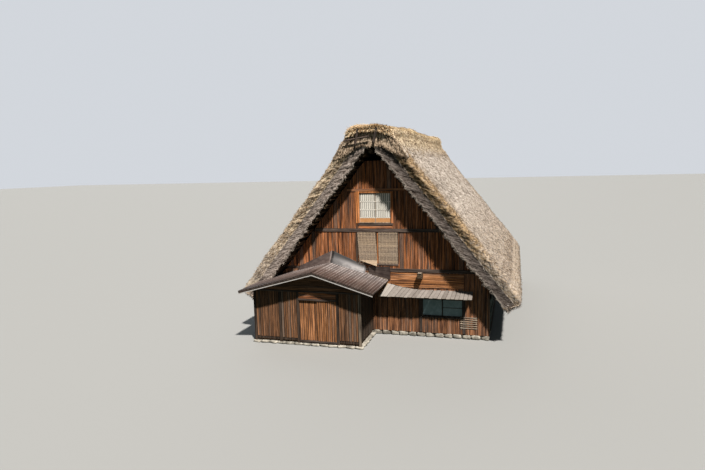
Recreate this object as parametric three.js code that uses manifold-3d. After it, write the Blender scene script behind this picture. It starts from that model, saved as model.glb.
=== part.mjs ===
// A thatched minka farmhouse with a steep gassho roof, and a low boarded annex against its front gable.
// Millimetres, +Z up. The front gable faces -Y. The origin is at ground level, at the middle of the
// whole plan. Inside the house group, X = 0 is the ridge, Y = 0 the front gable wall and Z = 0 the ground.

import * as THREE from 'three';
import { mergeVertices } from 'three/addons/utils/BufferGeometryUtils.js';
import Module from 'manifold-3d';

const wasm = await Module();
wasm.setup();

// Driving dimensions of the house
const GAP = 0.3;                 // between pieces that touch
const HALF_WIDTH = 6200;         // ridge plane to the outer face of a side wall
const LENGTH = 17200;            // gable wall to gable wall
const VERGE = 1000;              // thatch past each gable wall
const WALL = 90;                 // boarded gable wall
const FRAME_BACK = 210;          // back of the gable's timber frame
const SIDE_WALL = 180;           // side wall with its plate
const FOOTING_TOP = 250;
const FLOOR_TOP = 400;

// Roof section: the thatch's inner face is a straight line down from its apex
const PITCH = 1.245;
const INNER_APEX = 10760;
const OUTER_PITCH = 1.262;
const OUTER_APEX = 12680;
const THATCH_TOP = 11100;
const PURLIN = 120;
const RAFTER = 220;
const SLOPE = Math.hypot(1, PITCH);
const ROOF_ANGLE = Math.atan(PITCH);

// Storeys: the bands are the beams that show across the gable
const BAND_1 = [3660, 3840];
const BAND_2 = [5890, 6070];
const BAND_PROUD = 60;
const GABLE_TOP = 9850;
const LOFT_WINDOW = { x: [-930, 890], z: [6390, 8070] };
const ATTIC_WINDOW = { x: [-1060, 1180], z: [4100, 5820] };
const GROUND_WINDOW = { x: [2580, 4810], z: [1210, 2180] };

// Annex
const ANNEX_FRONT = -2850;
const ANNEX_POST = 140;
const ANNEX_BASE = 120;
const ANNEX_RIDGE = { x: -2600, z: 4150 };
const ANNEX_EAVE = { right: 670, left: -6870 };
const ANNEX_FALL = { right: 0.305, left: 0.27 };
const ANNEX_ROOF_FRONT = -3530;
const ANNEX_ROOF_DEPTH = 73;
const ANNEX_PLATE = 2950;
const DOOR_BAY = [-3630, -1520];
const DOOR_HEAD = 2500;
const DOOR_SILL = 270;
const DOOR_WIDTH = 1090;
const DOOR_THICK = 35;

const RIDGE_END = 18380;         // rear end of the ridge cap
const RIDGE_POLE_SIZE = 70;
const PLAN_MIDDLE = (ANNEX_ROOF_FRONT + RIDGE_END + RIDGE_POLE_SIZE) / 2;

const colours = {
  thatch: [0x8d8271, 1.0],
  ridge_straw: [0xb59a68, 1.0],
  wall_boards: [0x7a3f1f, 0.8],
  annex_boards: [0x5e3a24, 0.85],
  dark_timber: [0x3a2c24, 0.8],
  log: [0x5b4634, 0.9],
  floor_boards: [0x6b5138, 0.8],
  shoji_paper: [0xe6e4da, 0.9],
  window_glass: [0x4c6068, 0.15],
  reed: [0x8f8372, 0.9],
  sheet_roof: [0x4a3733, 0.45],
  flashing: [0x84797f, 0.4],
  awning_boards: [0xa9a49b, 0.7],
  grey_timber: [0x8b8074, 0.9],
  stone: [0xaaa69c, 0.95],
};

const materials = Object.fromEntries(
  Object.entries(colours).map(([name, [color, roughness]]) => [
    name,
    new THREE.MeshStandardMaterial({ name, color, roughness, metalness: 0 }),
  ]),
);

const part = new THREE.Group();
const house = new THREE.Group();
house.position.y = -PLAN_MIDDLE;
part.add(house);

// Everything in the rear group is turned half round the middle of the house
const rear = new THREE.Group();
rear.position.y = LENGTH;
rear.rotation.z = Math.PI;
house.add(rear);

function add(name, material, geometry, group = house) {
  const mesh = new THREE.Mesh(geometry, materials[material]);
  mesh.name = name;
  group.add(mesh);
  return mesh;
}

function block([x0, x1], [y0, y1], [z0, z1]) {
  const geometry = new THREE.BoxGeometry(x1 - x0, y1 - y0, z1 - z0);
  return geometry.translate((x0 + x1) / 2, (y0 + y1) / 2, (z0 + z1) / 2);
}

function outline(points, holes = []) {
  const shape = new THREE.Shape(points.map(([a, b]) => new THREE.Vector2(a, b)));
  for (const hole of holes) {
    shape.holes.push(new THREE.Path(hole.map(([a, b]) => new THREE.Vector2(a, b))));
  }
  return shape;
}

// An (x, z) outline carried along Y
function alongY(points, [y0, y1], holes = []) {
  const geometry = new THREE.ExtrudeGeometry(outline(points, holes), { depth: y1 - y0, bevelEnabled: false });
  return geometry.rotateX(Math.PI / 2).translate(0, y1, 0);
}

// A (y, z) outline carried along X
function alongX(points, [x0, x1], holes = []) {
  const geometry = new THREE.ExtrudeGeometry(outline(points, holes), { depth: x1 - x0, bevelEnabled: false });
  return geometry.rotateX(Math.PI / 2).rotateZ(Math.PI / 2).translate(x0, 0, 0);
}

// An (x, y) outline carried up Z
function alongZ(points, [z0, z1], holes = []) {
  const geometry = new THREE.ExtrudeGeometry(outline(points, holes), { depth: z1 - z0, bevelEnabled: false });
  return geometry.translate(0, 0, z0);
}

function rectangle([a0, a1], [b0, b1]) {
  return [[a0, b0], [a1, b0], [a1, b1], [a0, b1]];
}

function toSolid(geometry) {
  const bare = geometry.clone();
  bare.deleteAttribute('normal');
  bare.deleteAttribute('uv');
  const merged = mergeVertices(bare, 1e-3);
  return new wasm.Manifold(new wasm.Mesh({
    numProp: 3,
    vertProperties: new Float32Array(merged.attributes.position.array),
    triVerts: new Uint32Array(merged.index.array),
  }));
}

function toGeometry(solid) {
  const mesh = solid.getMesh();
  const geometry = new THREE.BufferGeometry();
  geometry.setAttribute('position', new THREE.BufferAttribute(new Float32Array(mesh.vertProperties), 3));
  geometry.setIndex(new THREE.BufferAttribute(new Uint32Array(mesh.triVerts), 1));
  return geometry;
}

function fuse(geometries) {
  const solids = geometries.map(toSolid);
  return toGeometry(solids.slice(1).reduce((whole, next) => whole.add(next), solids[0]));
}

function cut(geometry, cutters) {
  return toGeometry(cutters.reduce((whole, cutter) => whole.subtract(toSolid(cutter)), toSolid(geometry)));
}

function span(count, from, to) {
  return Array.from({ length: count }, (_, i) => from + (to - from) * i / (count - 1));
}

// Height of a plane that lies a given depth under the thatch's inner face, at a distance from the ridge
function roofLine(depth, x) {
  return INNER_APEX - depth * SLOPE - PITCH * x;
}

// Distance from the ridge at which that plane passes a height
function roofReach(depth, z) {
  return (INNER_APEX - depth * SLOPE - z) / PITCH;
}

const UNDER_PURLIN = PURLIN + GAP;
const UNDER_RAFTER = PURLIN + RAFTER + GAP;

// Footing and floors
function buildBase() {
  const lip = 50;
  const inner = HALF_WIDTH - 300;
  const ring = rectangle([-HALF_WIDTH - lip, HALF_WIDTH + lip], [-lip, LENGTH + lip]);
  const hole = rectangle([-inner, inner], [300, LENGTH - 300]);
  add('footing', 'stone', alongZ(ring, [0, FOOTING_TOP], [hole]));

  const side = HALF_WIDTH - SIDE_WALL - GAP;
  const ends = [FRAME_BACK + GAP, LENGTH - FRAME_BACK - GAP];
  add('ground_floor', 'floor_boards', block([-side, side], ends, [FOOTING_TOP + GAP, FLOOR_TOP]));

  const floors = { attic_floor: BAND_1, loft_floor: BAND_2 };
  for (const [name, [low, high]] of Object.entries(floors)) {
    const [z0, z1] = [low + 40, high - 10];
    const bottom = roofReach(UNDER_RAFTER, z0);
    const top = roofReach(UNDER_RAFTER, z1);
    add(name, 'floor_boards', alongY([[-bottom, z0], [bottom, z0], [top, z1], [-top, z1]], ends));
  }
}

// Boarded gable walls, one for each storey, with the windows cut through
function buildGableWalls(side, group) {
  const wallEnd = ([x, z]) => [[-x, z], [x, z]];
  const edge = (z) => Math.min(HALF_WIDTH, roofReach(UNDER_PURLIN, z));
  const shoulder = roofLine(UNDER_PURLIN, HALF_WIDTH);
  const depth = [0, WALL];
  const top = BAND_1[0] - GAP;
  const ground = [
    ...wallEnd([HALF_WIDTH, FOOTING_TOP + GAP]),
    [HALF_WIDTH, shoulder],
    [edge(top), top],
    [-edge(top), top],
    [-HALF_WIDTH, shoulder],
  ];
  const storey = (z0, z1) => [...wallEnd([edge(z0), z0]), ...wallEnd([edge(z1), z1]).reverse()];
  const window = ({ x, z }) => rectangle(x, z);
  add(`${side}_wall_ground`, 'wall_boards', alongY(ground, depth, [window(GROUND_WINDOW)]), group);
  const attic = storey(BAND_1[1] + GAP, BAND_2[0] - GAP);
  add(`${side}_wall_attic`, 'wall_boards', alongY(attic, depth, [window(ATTIC_WINDOW)]), group);
  const loft = storey(BAND_2[1] + GAP, GABLE_TOP);
  add(`${side}_wall_loft`, 'wall_boards', alongY(loft, depth, [window(LOFT_WINDOW)]), group);
}

// The timber frame behind the gable boards: bands, posts and the end pair of rafters, in one plane
function buildGableFrame(side, group) {
  const depth = [WALL + GAP, FRAME_BACK];
  const post = 180;
  const members = [];
  for (const sign of [-1, 1]) {
    const rafter = [
      [HALF_WIDTH, roofLine(UNDER_PURLIN, HALF_WIDTH)],
      [HALF_WIDTH, roofLine(UNDER_RAFTER, HALF_WIDTH)],
      [roofReach(UNDER_RAFTER, GABLE_TOP), GABLE_TOP],
      [roofReach(UNDER_PURLIN, GABLE_TOP), GABLE_TOP],
    ].map(([x, z]) => [sign * x, z]);
    members.push(alongY(sign > 0 ? rafter.reverse() : rafter, depth));
    const corner = [sign * HALF_WIDTH, sign * (HALF_WIDTH - post)].sort((a, b) => a - b);
    members.push(block(corner, depth, [FOOTING_TOP + GAP, 2700]));
  }
  for (const x of [-3400, 0, GROUND_WINDOW.x[0] - post, GROUND_WINDOW.x[1]]) {
    members.push(block([x, x + post], depth, [FOOTING_TOP + GAP, BAND_1[0] + 20]));
  }
  for (const x of [ATTIC_WINDOW.x[0] - post, ATTIC_WINDOW.x[1]]) {
    members.push(block([x, x + post], depth, [BAND_1[1] - 20, BAND_2[0] + 20]));
  }
  for (const x of [LOFT_WINDOW.x[0] - post, LOFT_WINDOW.x[1]]) {
    members.push(block([x, x + post], depth, [BAND_2[1] - 20, 8900]));
  }
  const reach1 = roofReach(UNDER_PURLIN, BAND_1[1]);
  const reach2 = roofReach(UNDER_PURLIN, BAND_2[1]);
  members.push(block([-reach1, reach1], [0, FRAME_BACK], BAND_1));
  members.push(block([ANNEX_EAVE.right + 30, reach1], [-BAND_PROUD, FRAME_BACK], BAND_1));
  members.push(block([-reach2, reach2], [-BAND_PROUD, FRAME_BACK], BAND_2));
  add(`${side}_frame`, 'dark_timber', fuse(members), group);
}

// A side wall with its slanted plate under the rafters, a long row of openings and the glazing outside it
function buildSideWall(side, group) {
  const inner = HALF_WIDTH - SIDE_WALL;
  const ends = [FRAME_BACK + GAP, LENGTH - FRAME_BACK - GAP];
  const profile = [
    [inner, FOOTING_TOP + GAP],
    [HALF_WIDTH, FOOTING_TOP + GAP],
    [HALF_WIDTH, roofLine(UNDER_RAFTER, HALF_WIDTH)],
    [inner, roofLine(UNDER_RAFTER, inner)],
  ];
  const bays = 4;
  const post = 180;
  const row = [900, LENGTH - 900];
  const height = [450, 2030];
  const pitch = (row[1] - row[0] + post) / bays;
  const openings = span(bays, row[0], row[0] + pitch * (bays - 1))
    .map((y) => block([inner - 50, HALF_WIDTH + 50], [y, y + pitch - post], height));
  add(`${side}_wall`, 'wall_boards', cut(alongY(profile, ends), openings), group);
  const glass = 25;
  const overlap = 60;
  add(`${side}_glazing`, 'window_glass', block(
    [HALF_WIDTH + GAP, HALF_WIDTH + glass],
    [row[0] - overlap, row[1] + overlap],
    [height[0] - overlap, height[1] + overlap],
  ), group);
}

// Rafters and purlins of one slope, fused where they cross, laid out in the plane of the slope
function buildRoofFrame(side, group) {
  const width = 160;
  const lap = 10;
  const upper = 430;
  const lower = 6800 * SLOPE;
  const bars = [];
  for (const y of span(9, LENGTH / 10, LENGTH * 0.9)) {
    bars.push(block([upper, lower], [y - width / 2, y + width / 2], [-PURLIN - RAFTER, -PURLIN + lap]));
  }
  for (const u of span(12, 700, 10600)) {
    const eave = u / SLOPE > 5500;
    const y = eave ? [10, LENGTH - 10] : [-VERGE + 150, LENGTH + VERGE - 150];
    bars.push(block([u, u + PURLIN], y, [-PURLIN, -GAP]));
  }
  const mesh = add(`roof_frame_${side}`, 'log', fuse(bars), group);
  mesh.rotation.y = ROOF_ANGLE;
  mesh.position.z = INNER_APEX;
  return upper;
}

// The ridge beam lies in the notch between the upper ends of the rafters
function buildRidgeBeam(upper) {
  const foot = INNER_APEX - (upper - GAP) * SLOPE / PITCH;
  const half = 110;
  const rise = half / PITCH;
  const section = [
    [0, foot],
    [half, foot + rise],
    [half, foot + 190],
    [0, foot + 230],
    [-half, foot + 190],
    [-half, foot + rise],
  ];
  add('ridge_beam', 'log', alongY(section, [-VERGE + 150, LENGTH + VERGE - 150]));
}

// One slope of thatch: straight faces, a rounded eave and a flat top under the ridge cap
function buildThatch(side, group) {
  const outer = (x) => OUTER_APEX - OUTER_PITCH * x;
  const section = [
    [GAP, INNER_APEX - PITCH * GAP],
    [GAP, THATCH_TOP],
    [(OUTER_APEX - THATCH_TOP) / OUTER_PITCH, THATCH_TOP],
    [7500, outer(7500)],
    [7720, 2860],
    [7820, 2620],
    [7820, 2420],
    [7630, 2250],
    [7260, 2130],
    [6970, INNER_APEX - PITCH * 6970],
  ];
  add(`thatch_${side}`, 'thatch', alongY(section.reverse(), [-VERGE, LENGTH + VERGE]), group);
}

function buildRidgeCap() {
  const shoulder = (OUTER_APEX - THATCH_TOP) / OUTER_PITCH;
  const lip = 1380;
  const half = [
    [shoulder + 1, THATCH_TOP + GAP],
    [lip, OUTER_APEX - OUTER_PITCH * lip + 1],
    [1430, 10960],
    [1440, 11380],
    [1300, 11620],
    [760, 11800],
  ];
  const mirrored = half.map(([x, z]) => [-x, z]).reverse();
  const section = [...half, [0, 11880], ...mirrored];
  const front = LENGTH - RIDGE_END;
  add('ridge_cap', 'ridge_straw', alongY(section, [front, RIDGE_END]));
}

// Crossed poles lashed to each end of the ridge cap
function buildRidgePoles(side, group) {
  const face = LENGTH - RIDGE_END - GAP;
  const depth = [face - RIDGE_POLE_SIZE + GAP, face];
  const bar = ([x0, z0], [x1, z1]) => {
    const length = Math.hypot(x1 - x0, z1 - z0);
    const [nx, nz] = [(z1 - z0) / length * RIDGE_POLE_SIZE / 2, -(x1 - x0) / length * RIDGE_POLE_SIZE / 2];
    return alongY([[x0 - nx, z0 - nz], [x0 + nx, z0 + nz], [x1 + nx, z1 + nz], [x1 - nx, z1 - nz]], depth);
  };
  const poles = [
    bar([-720, 10690], [-500, 11760]),
    bar([200, 10800], [500, 11740]),
    bar([-1230, 10950], [420, 11230]),
  ];
  add(`ridge_poles_${side}`, 'dark_timber', fuse(poles), group);
}

// What closes the windows: a sheet in each opening, two sliding shoji in the front loft window
function buildWindows() {
  const inset = ({ x, z }) => [[x[0] + GAP, x[1] - GAP], [z[0] + GAP, z[1] - GAP]];
  const sheet = (name, material, opening, depth, group) => {
    const [x, z] = inset(opening);
    add(name, material, block(x, depth, z), group);
  };
  const [x, z] = inset(LOFT_WINDOW);
  const middle = (x[0] + x[1]) / 2;
  add('shoji_left', 'shoji_paper', block([x[0], middle + 30], [25, 50], z));
  add('shoji_right', 'shoji_paper', block([middle - 30, x[1]], [55, 80], z));
  sheet('attic_shoji', 'shoji_paper', ATTIC_WINDOW, [40, 65], house);
  sheet('front_window', 'window_glass', GROUND_WINDOW, [40, 60], house);
  sheet('back_loft_shoji', 'shoji_paper', LOFT_WINDOW, [40, 65], rear);
  sheet('back_attic_shoji', 'shoji_paper', ATTIC_WINDOW, [40, 65], rear);
  sheet('back_window', 'window_glass', GROUND_WINDOW, [40, 60], rear);
}

// Reed blinds hung under the second band. The left one is longer and its foot lies out on the roof below
function buildBlinds() {
  const top = BAND_2[0] - GAP;
  const [back, front] = [-30, -45];
  add('reed_blind_right', 'reed', block([140, 1250], [front, back], [4050, top]));
  const profile = [
    [front, top],
    [front, 4330],
    [-300, 3930],
    [-288, 3922],
    [back, 4326],
    [back, top],
  ];
  add('reed_blind_left', 'reed', alongX(profile, [-1090, -20]));
}

// A slab ruled between two edges, given as [x back, z back, x front, z front] columns
function ruledSlab(columns, yBack, yFront, thickness) {
  const positions = [];
  for (const [xb, zb, xf, zf] of columns) {
    positions.push(xb, yBack, zb, xf, yFront, zf, xf, yFront, zf - thickness, xb, yBack, zb - thickness);
  }
  const index = [0, 2, 1, 0, 3, 2];
  for (let i = 0; i < columns.length - 1; i += 1) {
    for (let k = 0; k < 4; k += 1) {
      const [a, b] = [4 * i + k, 4 * i + (k + 1) % 4];
      index.push(a, b, a + 4, b, b + 4, a + 4);
    }
  }
  const end = 4 * (columns.length - 1);
  index.push(end, end + 1, end + 2, end, end + 2, end + 3);
  const geometry = new THREE.BufferGeometry();
  geometry.setAttribute('position', new THREE.Float32BufferAttribute(positions, 3));
  geometry.setIndex(index);
  return geometry;
}

// Awning over the ground floor window, with its ledger and arms
function buildAwning() {
  const thickness = 30;
  const reach = -800;
  const front = 2420;
  const wall = 2670;
  const columns = [
    [820, 2980, 640, front],
    [1160, 2870, 1060, front],
    [1510, 2790, 1460, front],
    [1960, 2720, 1940, front],
    [2500, wall, 2500, front],
    [5370, wall, 5370, front],
  ];
  add('awning', 'awning_boards', ruledSlab(columns, -GAP, reach, thickness));
  const fall = (wall - front) / -reach;
  const under = (y) => wall - thickness - 1 + fall * y;
  const arm = [[-GAP, under(0)], [-GAP, under(0) - 80], [-760, under(-760) - 50], [-760, under(-760)]];
  const width = 60;
  const bars = span(4, 2560, 5270).map((x) => alongX(arm, [x, x + width]));
  bars.push(block([1000, 5330], [-60, -GAP], [2520, 2580]));
  add('awning_frame', 'dark_timber', fuse(bars));
}

// Horizontal planks under the first band, a beam end over them, and a slat rack low on the wall
function buildFrontTrim() {
  const plank = 30;
  // its lower left corner follows the rising end of the awning
  const panel = [[820, 3000], [1160, 2890], [1510, 2810], [4860, 2800], [4860, 3610], [820, 3610]];
  add('plank_panel', 'wall_boards', alongY(panel, [-plank, -GAP]));
  add('beam_end', 'grey_timber', block([2380, 2650], [-420, -plank - GAP], [3370, BAND_1[0] - GAP]));
  const bars = [4710, 5500].map((x) => block([x, x + 45], [-32, -GAP], [560, 1270]));
  for (const z of span(6, 620, 1210)) {
    bars.push(block([4670, 5580], [-55, -25], [z, z + 35]));
  }
  add('slat_rack', 'grey_timber', fuse(bars));
}

function annexRoof(x, depth = 0) {
  const fall = x > ANNEX_RIDGE.x ? ANNEX_FALL.right : ANNEX_FALL.left;
  return ANNEX_RIDGE.z - depth - fall * Math.abs(x - ANNEX_RIDGE.x);
}

const ANNEX_BACK = ANNEX_FRONT + ANNEX_POST;
const ANNEX_X = [-6320, -180];
const UNDER_ROOF = ANNEX_ROOF_DEPTH + GAP;

function buildAnnexBase() {
  const strip = [
    [ANNEX_X[0] - 130, ANNEX_FRONT - 100],
    [ANNEX_X[1] + 130, ANNEX_FRONT - 100],
    [ANNEX_X[1] + 130, -50 - GAP],
    [ANNEX_X[1] - 270, -50 - GAP],
    [ANNEX_X[1] - 270, ANNEX_FRONT + 250],
    [ANNEX_X[0] + 270, ANNEX_FRONT + 250],
    [ANNEX_X[0] + 270, -50 - GAP],
    [ANNEX_X[0] - 130, -50 - GAP],
  ];
  add('annex_footing', 'stone', alongZ(strip, [0, ANNEX_BASE]));
  const floor = [ANNEX_X[0] + ANNEX_POST + 1, ANNEX_X[1] - ANNEX_POST - 1];
  add('annex_floor', 'floor_boards', block(floor, [ANNEX_BACK + 20, -51], [ANNEX_BASE + GAP, 200]));
  add('door_sill', 'dark_timber', block(
    [DOOR_BAY[0] + GAP, DOOR_BAY[1] - GAP], [ANNEX_FRONT, ANNEX_BACK], [190, DOOR_SILL]));
}

function buildAnnexWalls() {
  const posts = {
    annex_corner_post_left: ANNEX_X[0],
    annex_door_post_left: DOOR_BAY[0] - ANNEX_POST,
    annex_door_post_right: DOOR_BAY[1],
    annex_corner_post_right: ANNEX_X[1] - ANNEX_POST,
  };
  for (const [name, x] of Object.entries(posts)) {
    const height = [ANNEX_BASE + GAP, ANNEX_PLATE - GAP];
    add(name, 'dark_timber', block([x, x + ANNEX_POST], [ANNEX_FRONT, ANNEX_BACK], height));
  }
  const boards = [ANNEX_FRONT + 50, ANNEX_FRONT + 90];
  const height = [230, ANNEX_PLATE - GAP];
  const left = [posts.annex_corner_post_left + ANNEX_POST + GAP, posts.annex_door_post_left - GAP];
  const right = [posts.annex_door_post_right + ANNEX_POST + GAP, posts.annex_corner_post_right - GAP];
  add('annex_wall_left', 'annex_boards', fuse([
    block(left, boards, height),
    block([-4820, -4680], [ANNEX_FRONT, boards[1]], [ANNEX_BASE + GAP, ANNEX_PLATE - GAP]),
  ]));
  add('annex_wall_right', 'annex_boards', block(right, boards, height));

  const gable = [
    [ANNEX_X[0], ANNEX_PLATE],
    [DOOR_BAY[0] + GAP, ANNEX_PLATE],
    [DOOR_BAY[0] + GAP, DOOR_HEAD],
    [DOOR_BAY[1] - GAP, DOOR_HEAD],
    [DOOR_BAY[1] - GAP, ANNEX_PLATE],
    [ANNEX_X[1], ANNEX_PLATE],
    [ANNEX_X[1], annexRoof(ANNEX_X[1], UNDER_ROOF)],
    [ANNEX_RIDGE.x, ANNEX_RIDGE.z - UNDER_ROOF],
    [ANNEX_X[0], annexRoof(ANNEX_X[0], UNDER_ROOF)],
  ];
  add('annex_gable', 'annex_boards', alongY(gable, [ANNEX_FRONT, ANNEX_BACK]));

  const behind = ANNEX_BACK + GAP;
  const leftX = [-6230, -6180];
  const high = annexRoof(leftX[0], UNDER_ROOF);
  const low = roofLine(0, -leftX[0]) - 40;
  const foot = FOOTING_TOP + GAP;
  const step = -VERGE - 10;
  const leftSide = [[behind, foot], [-GAP, foot], [-GAP, low], [step, low], [step, high], [behind, high]];
  add('annex_side_left', 'annex_boards', alongX(leftSide, leftX));
  const rightX = [-300, -250];
  add('annex_side_right', 'annex_boards', block(rightX, [behind, -GAP], [foot, annexRoof(rightX[1], UNDER_ROOF)]));
}

// Two roof slopes, the left one notched under the foot of the thatch, with a raised flashing at the wall
function buildAnnexRoof() {
  const slope = (from, to) => alongY([
    [from, annexRoof(from, ANNEX_ROOF_DEPTH)],
    [to, annexRoof(to, ANNEX_ROOF_DEPTH)],
    [to, annexRoof(to)],
    [from, annexRoof(from)],
  ], [ANNEX_ROOF_FRONT, -GAP]);
  add('annex_roof_right', 'sheet_roof', slope(ANNEX_RIDGE.x + GAP, ANNEX_EAVE.right));
  const notch = block([ANNEX_EAVE.left - 100, -6000], [-VERGE - 10, 100], [2500, 4000]);
  add('annex_roof_left', 'sheet_roof', cut(slope(ANNEX_EAVE.left, ANNEX_RIDGE.x - GAP), [notch]));

  // Each flashing is a wedge between two (height, depth) triangles that stand on the roof
  const wedge = (x0, [h0, d0], x1, [h1, d1]) => {
    const triangle = (x, h, d) => {
      const z = annexRoof(x) + GAP + 0.2;
      return [x, -GAP, z, x, -d, z, x, -GAP, z + h];
    };
    const geometry = new THREE.BufferGeometry();
    const points = [...triangle(x0, h0, d0), ...triangle(x1, h1, d1)];
    geometry.setAttribute('position', new THREE.Float32BufferAttribute(points, 3));
    geometry.setIndex([0, 1, 2, 3, 5, 4, 0, 4, 1, 0, 3, 4, 1, 5, 2, 1, 4, 5, 2, 3, 0, 2, 5, 3]);
    return geometry;
  };
  const crown = [490, 480];
  const x = ANNEX_RIDGE.x;
  add('flashing_left', 'flashing', wedge(-4700, [120, 200], x - GAP, crown));
  add('flashing_right', 'flashing', wedge(x + GAP, crown, -600, [260, 300]));
}

// Two boarded doors that slide past each other in the annex's middle bay
function buildDoors() {
  const height = [DOOR_SILL + 0.5, DOOR_HEAD - 6];
  const outer = [ANNEX_FRONT + 20, ANNEX_FRONT + 20 + DOOR_THICK];
  const inner = [outer[1] + 10, outer[1] + 10 + DOOR_THICK];
  const clear = 6;
  const left = DOOR_BAY[0] + clear;
  const right = DOOR_BAY[1] - clear;
  add('door_left', 'annex_boards', block([left, left + DOOR_WIDTH], inner, height));
  add('door_right', 'annex_boards', block([right - DOOR_WIDTH, right], outer, height));
}

buildBase();
const ends = { front: house, back: rear };
for (const [side, group] of Object.entries(ends)) {
  buildGableWalls(side, group);
  buildGableFrame(side, group);
  buildRidgePoles(side, group);
}
const slopes = { right: house, left: rear };
let rafterTop = 0;
for (const [side, group] of Object.entries(slopes)) {
  buildSideWall(side, group);
  buildThatch(side, group);
  rafterTop = buildRoofFrame(side, group);
}
buildRidgeBeam(rafterTop);
buildRidgeCap();
buildWindows();
buildBlinds();
buildAwning();
buildFrontTrim();
buildAnnexBase();
buildAnnexWalls();
buildAnnexRoof();
buildDoors();

export default part;
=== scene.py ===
"""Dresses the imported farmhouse: thatch, boards, shoji, blinds, the annex's sheet roof and the light.

All sizes are metres in the part's frame: X across the gable, Y from the front gable to the back, Z up.
A slope is laid out with u down the slope from the thatch's inner apex and w out of it, square to its
inner face. The small letters x, y and z are always the part's own axes.
"""

import math

import bmesh
import bpy
import numpy as np
from mathutils import Matrix, Vector


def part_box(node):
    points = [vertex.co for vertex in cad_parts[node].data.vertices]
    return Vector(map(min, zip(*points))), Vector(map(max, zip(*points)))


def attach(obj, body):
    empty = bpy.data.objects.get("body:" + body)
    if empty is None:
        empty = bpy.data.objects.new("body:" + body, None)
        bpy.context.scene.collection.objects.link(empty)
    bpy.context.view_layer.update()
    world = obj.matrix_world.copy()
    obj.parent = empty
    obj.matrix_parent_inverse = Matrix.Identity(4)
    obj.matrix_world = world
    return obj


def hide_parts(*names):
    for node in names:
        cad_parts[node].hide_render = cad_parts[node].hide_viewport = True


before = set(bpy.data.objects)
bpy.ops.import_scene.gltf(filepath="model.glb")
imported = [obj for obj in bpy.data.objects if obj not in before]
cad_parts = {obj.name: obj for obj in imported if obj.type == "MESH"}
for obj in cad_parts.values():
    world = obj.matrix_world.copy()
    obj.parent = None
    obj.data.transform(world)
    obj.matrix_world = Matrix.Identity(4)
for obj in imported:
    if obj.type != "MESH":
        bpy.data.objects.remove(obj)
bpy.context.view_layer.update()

bl_info = {
    "name": "Thatched farmhouse dressing",
    "version": (1, 0, 0),
    "blender": (4, 5, 0),
    "location": "View3D > Sidebar > Farmhouse",
    "description": "Thatch, boards, shoji, blinds, sheet roof, stones and light for a gassho farmhouse",
    "category": "Object",
}

# Places read from the frame
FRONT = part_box("front_wall_ground")[0].y
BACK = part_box("back_wall_ground")[1].y
VERGE_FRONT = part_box("thatch_right")[0].y
VERGE_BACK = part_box("thatch_right")[1].y
ANNEX_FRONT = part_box("annex_gable")[0].y

# The roof's lines, as the frame has them
INNER_APEX = 10.76
PITCH = 1.245
SLOPE = math.hypot(1, PITCH)
COS, SIN = 1 / SLOPE, PITCH / SLOPE
BOARD_LINE = INNER_APEX - 0.1203 * SLOPE
WINDOWS = {
    "loft": ((-0.93, 0.89), (6.39, 8.07)),
    "attic": ((-1.06, 1.18), (4.10, 5.82)),
    "ground": ((2.58, 4.81), (1.21, 2.18)),
}
ANNEX_RIDGE = (-2.6, 4.15)
ANNEX_FALL = {1: 0.305, -1: 0.27}
SASH_Y = FRONT + 0.039
HALF_KEN = 0.91
SIDES = ((1, "right"), (-1, "left"))

# The photograph's camera, solved in the part's frame
CAMERA_PLACE = (7.501, -36.929, 9.433)
CAMERA_TURN = 0.2924
CAMERA_DIP = 0.1209
CAMERA_ROLL = -0.0251
CAMERA_LENS = 27.82

# The light
SUN_TRAVEL = (-0.73, 1.0, -1.81)
BACK_TRAVEL = (0.55, -1.0, -0.5)
BACK_SPREAD = 1.2
FLOOR_REACH = 400.0


# Mesh tools

def mixed(low, high, share):
    """The value a share of the way from low to high."""
    return low + (high - low) * share


def eased(values, low, high):
    """0 below low, 1 above high, and a smooth rise between them."""
    t = np.clip((values - low) / (high - low), 0, 1)
    return t * t * (3 - 2 * t)


def pairs(values):
    """Each value with the one after it."""
    return list(zip(values[:-1], values[1:]))


def distances(points):
    """How far along a line of points each one lies."""
    return np.concatenate([[0], np.cumsum(np.linalg.norm(np.diff(points, axis=0), axis=1))])


def lattice(points, seed):
    """A repeatable random number from 0 to 1 for each whole-number point, from multiplied integers."""
    x, y, z = (points[..., i].astype(np.int64) for i in range(3))
    h = (x * 374761393 + y * 668265263 + z * 1274126177 + seed * 974634777) & 0x7FFFFFFF
    h = ((h ^ (h >> 13)) * 1103515245 + 12345) & 0x7FFFFFFF
    return ((h ^ (h >> 16)) & 0xFFFF) / 0xFFFF


def noise(points, seed=0, octaves=1):
    """Random numbers on whole-number points, blended smoothly between them, from -1 to 1 a layer."""
    total = np.zeros(points.shape[:-1])
    for octave in range(octaves):
        p = points * 2.03 ** octave
        cell = np.floor(p)
        f = p - cell
        f = f * f * (3 - 2 * f)
        value = 0
        for corner in range(8):
            step = np.array([corner & 1, corner >> 1 & 1, corner >> 2 & 1])
            weight = np.prod(np.where(step, f, 1 - f), axis=-1)
            value = value + weight * lattice(cell + step, seed + octave * 17)
        total += (value * 2 - 1) * 0.5 ** octave
    return total


def grid_faces(rows, columns, start=0, wrap=False):
    """Four-sided faces over a grid of points stored row after row."""
    r = np.arange(rows - 1)[:, None]
    c = np.arange(columns if wrap else columns - 1)[None, :]
    n = (c + 1) % columns
    quads = np.stack([r * columns + c, r * columns + n, (r + 1) * columns + n, (r + 1) * columns + c], -1)
    return quads.reshape(-1, 4) + start


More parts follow.
